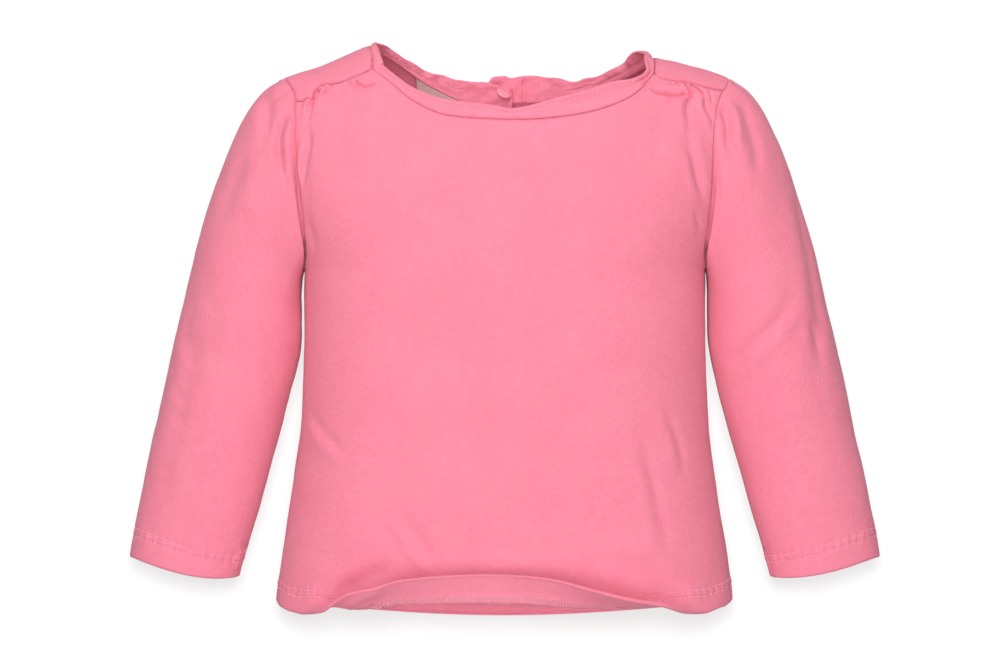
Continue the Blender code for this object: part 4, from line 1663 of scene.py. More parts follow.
@dataclass
class BackPanel(BodyPanel):
    """The back: it reaches over the shoulders and is slit down from the neck.

    Attributes:
        face: The back.
        shoulder_columns: Columns from the neck to each armhole.
        zone_rows: Rows in the hem zone.
        body_rows: Rows from the hem zone to the underarm.
        upper_rows: Rows above the underarm.
        swell_length: The usual length of a swell.
        swell_top: The height below which the swells start.
        swell_fade: How far down they reach their full height.
        seed: Which pattern of swells.
        lap_step: How far the slit's right side lies behind its left one.
        lap_width: How far the right side reaches behind the left one.
        lap_reach: How far from the slit the sides start to part.
        lap_depth: How far down they do.
    """

    face: Face = Face.BACK
    shoulder_columns: int = 40
    zone_rows: int = 40
    body_rows: int = 56
    upper_rows: int = 150
    swell_length: float = 55.0
    swell_top: float = -30.0
    swell_fade: float = 30.0
    seed: int = 21
    lap_step: float = 3.2
    lap_width: float = 4.5
    lap_reach: float = 26.0
    lap_depth: float = 45.0

    def base(self) -> tuple[Array, Array, int]:
        """The back before its relief.

        Returns:
            Its grid, from right to left, the grid's normals and the column to the right of the slit.
        """
        places = half_and_half(self.neck_columns, self.shoulder_columns)
        middle = len(places) // 2
        places = np.concatenate([places[:middle], [-TINY, TINY], places[middle + 1:]])[::-1]
        across = FORM.chest_across(places, self.face)
        hem = self.hem_height(across)
        zone = FORM.lower(across, hem + self.zone_lengths()[:, None], self.face)
        grid, normals = self.plain(zone, hem + self.zone, places)
        near = 1 - ease(np.abs(grid[..., 0] - SLIT_PLACE) / self.lap_reach)
        high = 1 - ease((grid[-1, middle, 2] - grid[..., 2]) / self.lap_depth)
        right = grid[..., 0] > SLIT_PLACE
        beside = 1 - ease((grid[..., 0] - SLIT_PLACE) / self.lap_width / 2.5)
        grid[..., 1] += np.where(right, 1, -1) * self.lap_step / 2 * near * high
        grid[..., 0] -= self.lap_width * beside * right * high
        return grid, normals, middle

    def build(self, material: bpy.types.Material) -> bpy.types.Object:
        """Makes the panel.

        Args:
            material: Its material.

        Returns:
            The object.
        """
        grid, normals, middle = self.base()
        inner = self.dress(grid, normals, BACK_CREASES, FORM.on_back)
        kept = np.ones((grid.shape[0] - 1, grid.shape[1] - 1), bool)
        kept[grid[:-1, middle, 2] > grid[-1, middle, 2] - SLIT_DEPTH, middle] = False
        return cloth_wall("back", self.outer, inner, flat_map(grid, middle), material, kept=kept)


@dataclass
class Sleeve:
    """A sleeve from its gathered head to its turned cuff.

    Attributes:
        side: Left or right.
        creases: Its creases, by angle around the head and station.
        lift: How far the cuff's edge rises in front and behind.
        outward: How much more it rises towards the outside.
        cap_stations: Stations over which the armhole's shape turns into a plain section.
        stand_off: How far the sleeve's first row keeps from the seam.
        tuck: How far the seam's allowance reaches under the body's edge.
        tuck_depth: How deep it lies there.
        dip: How far the sleeve's edge lies behind the body's beside the chest.
        cloth: The wall of single cloth.
        hem_cloth: The wall where the cuff is turned up.
        cuff_depth: How far it is turned up.
        cuff_rise: How far the turned cuff stands proud.
        fold_radius: How far up the cuff's fold is round.
        fold_fall: How far the cloth falls away there.
        needles: How far below the raw edge of the turned cloth its needle rows run.
        needle_sink: How deep a needle row lies.
        pucker: Height of the cuff's puckers.
        pucker_pitch: From one pucker to the next.
        seam_sink: How deep the cloth lies at its seams.
        underarm: The angle of the underarm seam.
        arm_radius: The sleeve's usual radius.
        swell: Height of the cloth's slow undulation.
        swell_length: The usual length of a swell.
        grain: Height of the finer undulation.
        grain_length: Its usual length.
        seed: Which pattern of swells.
        station_length: The length of cloth from one station to the next.
        head_end: The station where the head's close rows end.
        cuff_start: The station where the cuff's close rows start.
        front_columns: Columns along the armhole's front.
        back_columns: Columns along its back.
        head_rows: Rows in the head.
        arm_rows: Rows from the head to the cuff.
        cuff_rows: Rows in the cuff.
        outer: The points of the right side.
        normals: Their normals.
        stations: The rows' stations.
        knots: The columns' angles, rising.
        change: How the armhole differs from the first section there.
        seam: The armhole's seam.
        seam_normals: The body's normals along it.
    """

    side: Side
    creases: tuple[Crease, ...]
    lift: float
    outward: float
    cap_stations: float = 6.0
    stand_off: float = 0.25
    tuck: float = 2.6
    tuck_depth: float = 3.2
    dip: float = 3.4
    cloth: float = 1.2
    hem_cloth: float = 2.0
    cuff_depth: float = 16.0
    cuff_rise: float = 0.1
    fold_radius: float = 1.6
    fold_fall: float = 0.9
    needles: tuple[float, float] = (1.0, 5.0)
    needle_sink: float = 0.35
    pucker: float = 0.22
    pucker_pitch: float = 4.6
    seam_sink: float = 0.45
    underarm: float = 176.0
    arm_radius: float = 25.0
    swell: float = 0.4
    swell_length: float = 48.0
    grain: float = 0.12
    grain_length: float = 15.0
    seed: int = 31
    station_length: float = 24.0
    head_end: float = 1.6
    cuff_start: float = 11.25
    front_columns: int = 78
    back_columns: int = 96
    head_rows: int = 62
    arm_rows: int = 96
    cuff_rows: int = 32
    outer: Array = field(default=None, repr=False)
    normals: Array = field(default=None, repr=False)
    stations: Array = field(default=None, repr=False)
    knots: Array = field(default=None, repr=False)
    change: Array = field(default=None, repr=False)
    seam: Array = field(default=None, repr=False)
    seam_normals: Array = field(default=None, repr=False)

    def section(self, angles: Array, stations: Array) -> Array:
        """Points of the plain sections.

        Args:
            angles: Degrees around the sleeve, from its outside to its front.
            stations: Stations down it.

        Returns:
            The points.
        """
        read = {name: SLEEVE.at(name, stations) for name in SLEEVE.columns}
        zero = 0 * read["sag"]
        outer = np.stack([read["outer_x"], zero, read["outer_z"]], axis=-1)
        inner = np.stack([read["inner_x"], zero, read["inner_z"]], axis=-1)
        depth = np.stack([zero, -read["half_depth"], zero], axis=-1)
        cos, sin = np.cos(np.radians(angles))[..., None], np.sin(np.radians(angles))[..., None]
        ring = (outer + inner) / 2 + cos * (outer - inner) / 2 + sin * depth
        cos, sin = cos[..., 0], np.abs(sin[..., 0])
        rise = self.lift * ease((stations - 9.5) / 2.5) * (1 + self.outward * cos)
        ring[..., 2] += rise * 1.2 * sin**2 / (sin + 0.2) - read["sag"] * sin**2
        return ring * [self.side.value, 1, 1]

    def spoke_angles(self, turns: Array) -> Array:
        """Spreads the armhole's points round the first section.

        Args:
            turns: Their turns over the shoulder.

        Returns:
            Their angles around the section, 0 at the crest.
        """
        half = np.linspace(0, 180, 181)
        shares = lengths_along(self.section(half, 0 * half))
        shares = shares / shares[-1]
        to_front = turns >= 90
        angles = np.empty(len(turns))
        for front, sign in ((True, 1), (False, -1)):
            dense = np.linspace(90, 180 if front else 0, 400)
            seam = lengths_along(FORM.upper(*FORM.armhole_place(self.side, dense)))
            mine = to_front == front
            share = np.interp(np.abs(turns[mine] - 90), np.abs(dense - 90), seam / seam[-1])
            angles[mine] = sign * np.interp(share, shares, half)
        return angles % 360

    def prepare(self) -> Array:
        """Works out how the armhole differs from the first section.

        Returns:
            The columns' angles, in order round the sleeve.
        """
        places = np.array([float(self.side.value)])
        top = float(FORM.top_place(places, Face.FRONT)[1][0])
        front = FORM.even_turns(self.side, top, 180, np.linspace(0, 1, self.front_columns + 1))
        back = FORM.even_turns(self.side, 0, top, np.linspace(0, 1, self.back_columns + 1))
        turns = np.concatenate([back[:-1], front[:-1]])
        angles = self.spoke_angles(turns)
        place = FORM.armhole_place(self.side, turns)
        self.seam, self.seam_normals = FORM.upper(*place), FORM.upper_normal(*place)
        seam = self.seam + [self.side.value * self.stand_off, 0, 0]
        order = np.argsort(angles)
        self.knots = angles[order]
        self.change = (seam - self.section(angles, 0 * angles))[order]
        return angles

    def locate(self, angles: Array, stations: Array) -> Array:
        """Points of the sleeve without its creases.

        Args:
            angles: Degrees around it.
            stations: Stations down it.

        Returns:
            The points.
        """
        change = [np.interp(angles % 360, self.knots, column, period=360) for column in self.change.T]
        share = 1 - ease(stations / self.cap_stations)
        return self.section(angles, stations) + np.stack(change, axis=-1) * share[..., None]

    def allowance(self, dip: Array) -> Array:
        """The seam's allowance, which closes the gap from below.

        Args:
            dip: How far the sleeve's edge lies behind the body's, in each column.

        Returns:
            Its far row, then its near row.
        """
        along = np.roll(self.seam, -1, axis=0) - np.roll(self.seam, 1, axis=0)
        under = unit(np.cross(along, self.seam_normals)) * -self.side.value
        crest = np.argmax(self.seam[:, 2])
        under *= -self.side.value * np.sign(under[crest, 0])
        low = self.seam - self.seam_normals * (self.tuck_depth + dip)[:, None]
        return np.stack([low + under * self.tuck, low + under * 0.1])

    def rows(self) -> Array:
        """The rows' stations, closer together in the head and the cuff.

        Returns:
            The stations.
        """
        head = self.head_end * np.linspace(0, 1, self.head_rows, endpoint=False) ** 1.4
        arm = np.linspace(self.head_end, self.cuff_start, self.arm_rows, endpoint=False)
        return np.concatenate([head, arm, np.linspace(self.cuff_start, CUFF_STATION, self.cuff_rows)])

    def turned(self, stations: Array) -> Array:
        """1 where the cuff is turned up, and 0 above it."""
        return ease((self.cuff_depth + 0.6 - (CUFF_STATION - stations) * self.station_length) / 1.2)

    def seam_dip(self, angles: Array) -> Array:
        """How far the sleeve's edge lies behind the body's, which is only beside the chest."""
        fold = 180 - np.abs(180 - angles % 360)
        return self.dip * ease((fold - 55) / 60) * ease((178 - fold) / 12)

    def relief(self, grid: Array, angles: Array, stations: Array) -> Array:
        """How far the cloth stands proud of its plain form, without its creases.

        Args:
            grid: The cloth's points.
            angles: Their angles.
            stations: Their stations.

        Returns:
            The height at each point.
        """
        from_cuff = (CUFF_STATION - stations) * self.station_length
        below = self.cuff_depth - from_cuff
        circle = np.cumsum(np.linalg.norm(np.diff(grid[-1], axis=0, append=grid[-1][:1]), axis=1))
        pucker = self.pucker * np.sin(circle * 2 * math.pi / self.pucker_pitch)
        pucker = pucker + 0.3 * np.sin(circle / 3.1) * np.sin(circle / 7.9)
        needles = sum(hill(below - needle, 0.8) for needle in self.needles)
        relief = self.cuff_rise * self.turned(stations) + pucker * hill(below - 2.6, 3.6)
        relief -= self.needle_sink * needles + self.fold_fall * rounding(from_cuff / self.fold_radius)
        from_head = stations * self.station_length
        relief -= self.seam_sink * hill(from_head, 1.2) + self.seam_dip(angles) * hill(from_head, 6.5)
        seed = self.seed + self.side.value
        relief += self.swell * undulation(grid, self.swell_length, seed) * ease(stations / 1.5)
        relief += self.grain * undulation(grid, self.grain_length, seed + 10)
        from_underarm = np.radians(np.abs((angles - self.underarm + 180) % 360 - 180)) * self.arm_radius
        return relief - self.seam_sink * hill(from_underarm, 0.9)

    def build(self, material: bpy.types.Material) -> bpy.types.Object:
        """Makes the sleeve.

        Args:
            material: Its material.

        Returns:
            The object.
        """
        angles = self.prepare()
        self.stations = self.rows()
        around, along = np.meshgrid(angles, self.stations)
        grid = self.locate(around, along)
        normals = grid_normals(grid, True) * self.side.value
        relief = self.relief(grid, around, along)
        self.outer = press(grid, normals, self.creases, self.locate) + normals * relief[..., None]
        toward_body = (self.outer[..., 0] - grid[..., 0]) * self.side.value < 0
        self.outer[..., 0] = np.where(toward_body & (along < 0.06), grid[..., 0], self.outer[..., 0])
        self.normals = grid_normals(self.outer, True) * self.side.value
        wall = self.cloth + (self.hem_cloth - self.cloth) * self.turned(along)
        inward = -normals * wall[..., None]
        inward[0, inward[0, :, 0] * self.side.value < 0, 0] = 0
        tucked = self.allowance(self.seam_dip(angles))
        outer = np.concatenate([tucked, self.outer])
        inner = np.concatenate([tucked - self.seam_normals * 0.7, self.outer + inward])
        grids = [outer, inner, flat_map(np.concatenate([tucked, grid]), 0)]
        if self.side is Side.LEFT:
            grids = [rows[:, ::-1] for rows in grids]
        return cloth_wall(f"{self.side.name.lower()}_sleeve", *grids, material, wrap=True)

    def cuff_line(self, from_cuff: float) -> tuple[Array, Array]:
        """A line round the cuff.

        Args:
            from_cuff: How far it lies from the cuff's edge.

        Returns:
            Its points and their normals, closed into a ring.
        """
        station = CUFF_STATION - from_cuff / self.station_length
        row = np.interp(station, self.stations, np.arange(len(self.stations)))
        low, share = int(row), row % 1
        points = self.outer[low] * (1 - share) + self.outer[low + 1] * share
        normals = self.normals[low]
        return np.concatenate([points, points[:1]]), np.concatenate([normals, normals[:1]])


# ---------------------------------------------------------------- neckband, label and snap


@dataclass
class Neckband:
    """The folded strip round the neck, lapped at the back and ruffled along its top.

    Shares run along it from its left end at the back, round the front, to its right end.

    Attributes:
        cloth: The strip's thickness.
        columns: Columns along the strip.
        side_rows: Rows up its outside.
        round_rows: Rows over its top.
        flap: How far the seam's allowance hangs inside.
        lap: The right end's points beyond the slit, x and z.
        corner: Radius of the right end's corner.
        ruffle: How far the ruffles swing.
        topstitch: How far below the top the front's stitching runs.
        left_stitch: How far below it the stitching inside the left back runs.
        right_stitch: How far below it the stitching inside the right back runs.
        thread_pitch: From one pucker of the stitching to the next.
        pleat_pitch: From one pleat of the lapped end to the next.
        length: The strip's length.
        shares: The columns' shares of the length.
        path: The seam's points.
        rise: The direction up the strip.
        out: The direction out of it.
        height: How high it stands.
    """

    cloth: float = 2.0
    columns: int = 640
    side_rows: int = 11
    round_rows: int = 5
    flap: float = 2.4
    lap: tuple[tuple[float, float], ...] = ((1.5, -18.9), (-2.0, -18.6), (-5.5, -18.4), (-9.3, -18.2))
    corner: float = 4.5
    ruffle: float = 1.2
    topstitch: float = 2.0
    left_stitch: float = 4.4
    right_stitch: float = 4.6
    thread_pitch: float = 2.65
    pleat_pitch: float = 3.1
    length: float = 0.0
    shares: Array = field(default=None, repr=False)
    path: Array = field(default=None, repr=False)
    rise: Array = field(default=None, repr=False)
    out: Array = field(default=None, repr=False)
    height: Array = field(default=None, repr=False)

    def seam_path(self, back: BackPanel) -> Array:
        """Points of the band's seam from its left end at the back round to its right end.

        Args:
            back: The back panel, whose top edge it follows.

        Returns:
            The points.
        """
        grid = back.base()[0]
        top = grid[-1][::-1]
        middle = len(top) // 2
        shoulder = back.shoulder_columns
        left, right = top[shoulder:middle][::-1], top[middle:-shoulder][::-1]
        inside = np.linspace(-NECK_SHARE, NECK_SHARE, 160)[1:-1]
        across, turn = FORM.top_place(inside, Face.FRONT)
        end = [(x, right[-1, 1], z) for x, z in self.lap]
        return np.concatenate([left, FORM.upper(across, turn), right, end])

    def lay_out(self, back: BackPanel) -> None:
        """Settles the strip's path, directions and height.

        Args:
            back: The back panel, whose top edge it follows.
        """
        path = self.seam_path(back)
        lengths = lengths_along(path)
        at = np.linspace(0, lengths[-1], self.columns)
        smooth = interpolate(at, lengths, path)
        kernel = hill(np.linspace(-1.6, 1.6, 13), 1.0)
        kernel /= kernel.sum()
        padded = np.concatenate([smooth[:1]] * 6 + [smooth] + [smooth[-1:]] * 6)
        self.path = np.stack([np.convolve(column, kernel, "valid") for column in padded.T], axis=-1)
        self.path[[0, -1]] = smooth[[0, -1]]
        self.shares = at / lengths[-1]
        self.length = lengths_along(self.path)[-1]
        along = np.gradient(self.path, axis=0)
        along[:, 2] = 0
        along = unit(along)
        inward = np.stack([-along[:, 1], along[:, 0], 0 * along[:, 0]], axis=1)
        lean = np.radians(BAND.at("lean", self.shares))[:, None]
        self.rise = inward * np.sin(lean) + np.array([0, 0, 1]) * np.cos(lean)
        self.out = unit(np.cross(unit(np.gradient(self.path, axis=0)), self.rise))
        self.height = BAND.at("height", self.shares)

    def ruffles(self) -> Array:
        """How far the strip's top edge swings in and out.

        Returns:
            The swing in each column.
        """
        s = self.shares * self.length
        at_back = apart_from(self.shares, 0.26, 0.76, 0.08, 0.05)
        wave = np.sin(s / 2.4 + 1.3 * np.sin(s / 9.0)) + 0.6 * np.sin(s / 4.3 + 2.0)
        ends = within(self.shares, 0.0, 0.955, 0.06, 0.04)
        slow = 0.35 * np.sin(s / 7.7 + 0.6) + 0.25 * np.sin(s / 4.9)
        return self.ruffle * wave * at_back * ends * 0.7 + slow * (0.3 + 0.4 * at_back)

    def tops(self) -> Array:
        """The strip's height with its round corner and with waves at the back.

        Returns:
            The height in each column.
        """
        from_end = (1 - self.shares) * self.length
        corner = np.sqrt(1 - np.clip(1 - from_end / self.corner, 0, 1) ** 2 * 0.9)
        waves = 0.35 * np.sin(self.shares * self.length / 5.1)
        return self.height * (0.45 + 0.55 * corner) + waves * apart_from(self.shares, 0.24, 0.78, 0.05, 0.05)

    def section(self, tops: Array) -> tuple[Array, Array]:
        """The strip's section: up the outside, over the top, down the inside and under.

        Args:
            tops: The strip's height in each column.

        Returns:
            How far up the strip each point lies: section point, column. And how far behind the
            outside: section point.
        """
        radius = self.cloth / 2
        up = np.linspace(0, 1, self.side_rows)
        over = np.linspace(0, math.pi, self.round_rows + 2)[1:-1]
        down = np.linspace(1, 0, self.side_rows + 3)
        s = self.shares * self.length
        flap = -self.flap * ease(s / 4) * ease((1 - self.shares) * self.length / 4)
        crest = tops - radius
        level = np.concatenate([
            SEAM_GAP + (crest - SEAM_GAP) * up[:, None],
            crest + np.sin(over)[:, None] * radius,
            flap + (crest - flap) * down[:, None],
            flap[None],
            np.full((1, len(s)), SEAM_GAP),
        ])
        depth = np.concatenate([
            0 * up,
            radius * (1 - np.cos(over)),
            np.full(len(down), self.cloth),
            [self.cloth - 0.5, self.cloth - 0.6],
        ])
        return level, depth[:, None]

    def outside_relief(self, level: Array, from_top: Array) -> Array:
        """The stitched grooves in front, and the dip along the seam.

        Args:
            level: How far up the strip each point lies.
            from_top: How far below its top.

        Returns:
            The height at each point.
        """
        s = self.shares
        groove_at = np.interp(s, (0.5, 0.58, 0.64, 0.67, 0.74), (3.4, 4.6, 4.2, 2.6, 3.2))
        groove = 1.5 * hill(from_top - groove_at, 0.6) - 0.6 * hill(from_top - groove_at - 1.7, 0.8)
        relief = -groove * within(s, 0.53, 0.735, 0.05, 0.03)
        relief -= 0.45 * hill(from_top - self.topstitch, 0.6) * within(s, 0.28, 0.745, 0.05, 0.05)
        return relief - 0.8 * hill(level - SEAM_GAP, 0.9) * (1 - 0.8 * hill(s - 0.725, 0.035))

    def inside_relief(self, level: Array, from_top: Array, points: Array) -> Array:
        """The lapped end's pleats, the ridges over the stitching, and the crumpled back.

        Args:
            level: How far up the strip each point lies.
            from_top: How far below its top.
            points: The points.

        Returns:
            The height at each point.
        """
        s = self.shares
        pleats = np.sin(s * self.length * 2 * math.pi / self.pleat_pitch)
        pleats = pleats * within(s, 0.938, 0.972, 0.006, 0.006)
        relief = 0.8 * pleats * hill(from_top - 9.0, 3.2)
        relief += 1.1 * hill((s - 0.947) * self.length, 0.7) * ease(from_top / 3)
        relief += 0.35 * hill(from_top - self.right_stitch, 0.6) * ease((s - 0.77) / 0.02)
        relief += 0.35 * hill(from_top - self.left_stitch, 0.6) * ease((0.25 - s) / 0.03)
        crumple = undulation(points, 9, 51) * ease(from_top / 2) * ease(level / 2)
        return relief + 0.75 * crumple * apart_from(s, 0.27, 0.74, 0.03, 0.03)

    def whole_relief(self, level: Array, from_top: Array) -> Array:
        """What bends both sides: puckers at the top, and the pocket and the nip at the right neck.

        Args:
            level: How far up the strip each point lies.
            from_top: How far below its top.

        Returns:
            The height at each point.
        """
        s = self.shares
        pucker = np.sin(s * self.length * 2 * math.pi / self.thread_pitch)
        relief = 0.14 * pucker * hill(from_top - 1.7, 1.5)
        pocket = within(s, 0.742, 0.800, 0.014, 0.012)
        relief += 1.3 * pocket * ease(from_top / 3.2) * ease(level / 1.5)
        return relief - 0.9 * hill(s - 0.738, 0.026) * hill(level, 3.0)

    def build(self, back: BackPanel, material: bpy.types.Material) -> bpy.types.Object:
        """Makes the band.

        Args:
            back: The back panel, whose top edge it follows.
            material: Its material.

        Returns:
            The object.
        """
        self.lay_out(back)
        tops = self.tops()
        level, depth = self.section(tops)
        from_top = tops - level
        points = self.path + self.rise * level[..., None]
        relief = self.whole_relief(level, from_top)
        relief += self.outside_relief(level, from_top) * (depth < self.cloth / 2)
        relief += self.inside_relief(level, from_top, points) * (depth > self.cloth / 2)
        swing = self.ruffles() * (np.maximum(level, 0) / tops) ** 1.4
        points = points + self.out * (swing + relief - depth)[..., None]
        flat = np.stack(np.broadcast_arrays(self.shares * self.length, level + depth), axis=-1) * MM
        return self.closed_strip(points, flat, material)

    def closed_strip(self, points: Array, flat: Array, material: bpy.types.Material) -> bpy.types.Object:
        """Makes a tube with flat ends.

        Args:
            points: Its points: section point, column, xyz.
            flat: Their places on the flat cloth.
            material: Its material.

        Returns:
            The object.
        """
        count, columns = points.shape[:2]
        ring, column = np.meshgrid(np.arange(count), np.arange(columns - 1), indexing="ij")
        beside = (ring + 1) % count
        faces = [np.stack([
            ring * columns + column,
            ring * columns + column + 1,
            beside * columns + column + 1,
            beside * columns + column,
        ], axis=-1).reshape(-1, 4)]
        low = np.arange(count // 2 - 1)
        high = count - 1 - low
        for end, flip in ((0, True), (columns - 1, False)):
            cap = np.stack([low, high, high - 1, low + 1], axis=1) * columns + end
            faces.append(cap[:, ::-1] if flip else cap)
        faces = np.concatenate(faces)
        return build_mesh("neckband_strip", points.reshape(-1, 3), faces, material, flat.reshape(-1, 2))

    def line_at(self, start: float, end: float, drop: float, inside: bool = False) -> tuple[Array, Array]:
        """A line along the strip.

        Args:
            start: The share where it starts.
            end: The share where it ends.
            drop: How far below the top edge it runs.
            inside: Whether it runs inside.

        Returns:
            Its points and their normals.
        """
        mine = (self.shares >= start) & (self.shares <= end)
        a = np.maximum(self.height[mine] - drop, 0.3 * self.height[mine])
        swing = self.ruffles()[mine] * (a / self.height[mine]) ** 1.4
        depth = self.cloth if inside else 0.15
        points = self.path[mine] + self.rise[mine] * a[:, None]
        points = points + self.out[mine] * (swing - depth)[:, None]
        return points, self.out[mine] * (-1 if inside else 1)


@dataclass
class NeckLabel:
    """The blank woven label inside the left back.

    Attributes:
        panel: The back's wall, which it lies behind.
        gap: How far behind the wall.
        cloth: Its thickness.
        depth: How far it hangs below the neck's seam.
        margin: How far below the seam it starts.
        start: The place of its right edge, as a share of the left neckline.
        end: The place of its left edge.
        turn_radius: The back's radius, which turns lengths into degrees.
        columns: Columns across.
        rows: Rows down.
    """

    panel: float = 1.2
    gap: float = 0.6
    cloth: float = 1.0
    depth: float = 24.0
    margin: float = 2.0
    start: float = -0.19
    end: float = -0.485
    turn_radius: float = 105.0
    columns: int = 60
    rows: int = 40

    def build(self, material: bpy.types.Material) -> bpy.types.Object:
        """Makes the label.

        Args:
            material: Its material.

        Returns:
            The object.
        """
        places = np.linspace(self.start, self.end, self.columns) * NECK_SHARE * 1.15
        across, turn = FORM.top_place(places, Face.BACK)
        down = np.linspace(self.depth, self.margin, self.rows)[:, None]
        grid = FORM.upper(across, turn - np.degrees(down / self.turn_radius))
        normals = grid_normals(grid)
        ripple = 0.03 * np.sin(arc_lengths(grid, 1) / 6.5)
        wall = self.cloth + 0.25 * hill(down - self.margin, 1.0) + ripple
        outer = grid - normals * (self.panel + self.gap)
        inner = outer - normals * wall[..., None]
        return cloth_wall("blank_label", outer, inner, flat_map(grid, 0), material)


@dataclass
class SnapCap:
    """One round cap of the snap.

    Attributes:
        node: The CAD node that it stands for.
        radius: The cap's radius.
        height: How far it stands off the cloth.
        sides: Points of a ring.
    """

    node: str
    radius: float = 4.1
    height: float = 0.9
    sides: int = 48

    def build(self, centre: Array, facing: Array, material: bpy.types.Material) -> bpy.types.Object:
        """Makes the cap.

        Args:
            centre: The middle of its back.
            facing: The direction that it faces.
            material: Its material.

        Returns:
            The object.
        """
        facing = unit(facing)
        sideways = unit(np.cross(facing, [0, 0, 1]))
        upward = np.cross(facing, sideways)
        turns = np.linspace(0, 2 * math.pi, self.sides, endpoint=False)
        profile = Table(
            "row radius height",
            (0, 0.0, 0.0),
            (1, 0.96, 0.0),
            (2, 1.0, 0.12),
            (3, 1.0, 0.40),
            (4, 0.93, 0.62),
            (5, 0.72, 0.86),
            (6, 0.40, 0.98),
            (7, 0.0, 1.0),
        )
        rows = np.concatenate([[0.02], np.linspace(0.5, 7, 22)])
        rows[-1] = 6.98
        radii, heights = profile.at("radius", rows) * self.radius, profile.at("height", rows) * self.height
        circle = np.outer(np.cos(turns), sideways) + np.outer(np.sin(turns), upward)
        points = centre + circle[None] * radii[:, None, None] + facing * heights[:, None, None]
        faces = tube_faces(1, len(rows), self.sides)
        return build_mesh(self.node + "_dome", points.reshape(-1, 3), faces, material)


# ---------------------------------------------------------------- stitching


@dataclass
class Stitching:
    """Every visible row of thread.

    Attributes:
        material: The thread's material.
        straight: The plain stitches.
        looper: The to-and-fro thread inside a hem.
    """

    material: bpy.types.Material
    straight: StitchRow = StitchRow()
    looper: Zigzag = Zigzag()

    def row(self, name: str, line: tuple[Array, Array], kind: StitchRow | Zigzag | None = None) -> None:
        """Makes one row.

        Args:
            name: The piece's name.
            line: The row's points and the cloth's normals.
            kind: What stitches. Plain ones, where it is None.
        """
        centres, normals, radii = (kind or self.straight).centres(*line)
        ride(tubes(name, centres, normals, radii, self.material), "jersey")


# ---------------------------------------------------------------- studio


@dataclass(frozen=True)
class Lamp:
    """A square soft light that faces a point, in metres. It lights the paper alone or all the rest.

    Attributes:
        name: Its name.
        place: Where it stands.
        aim: The point that it faces.
        size: Its side.
        power: Its power, in watts.
        on_paper: Whether it lights the paper alone.
    """

    name: str
    place: Point
    aim: Point
    size: float
    power: float
    on_paper: bool = False

    def build(self, paper: bpy.types.Object) -> None:
        """Makes the lamp.

        Args:
            paper: The sweep of paper.
        """
        data = bpy.data.lights.new(self.name, "AREA")
        data.size = self.size
        data.energy = self.power
        made = bpy.data.objects.new(self.name, data)
        made.visible_camera = False
        made.location = self.place
        x, y, z = np.array(self.aim) - np.array(self.place)
        made.rotation_euler = (math.atan2(math.hypot(x, y), -z), 0, math.atan2(-x, y))
        bpy.context.scene.collection.objects.link(made)
        group = bpy.data.collections.new(self.name + "_light")
        group.objects.link(paper)
        group.collection_objects[0].light_linking.link_state = "INCLUDE" if self.on_paper else "EXCLUDE"
        made.light_linking.receiver_collection = group


LAMPS = (
    Lamp("key", (-0.30, -1.20, 0.65), (0.0, 0.0, -0.15), 0.5, 6.3),
    Lamp("fill", (0.10, -2.1, 0.0), (0.0, 0.0, -0.15), 1.0, 8.5),
    Lamp("fill_low", (0.10, -2.1, -0.60), (0.0, 0.0, -0.15), 1.0, 5.0),
    Lamp("low", (0.0, -0.90, -0.70), (0.0, 0.0, -0.25), 0.5, 3.5),
    Lamp("top", (0.0, -0.55, 0.75), (0.0, 0.0, -0.05), 0.4, 4.0),
    Lamp("inside_neck", (0.0, -0.012, -0.050), (0.0, 0.036, -0.018), 0.06, 0.014),
    Lamp("inside_hem", (0.0, -0.020, -0.325), (0.0, 0.048, -0.298), 0.14, 0.035),
    Lamp("backdrop", (0.0, -2.0, 0.02), (0.0, 0.0, -0.15), 0.24, 36, on_paper=True),
)


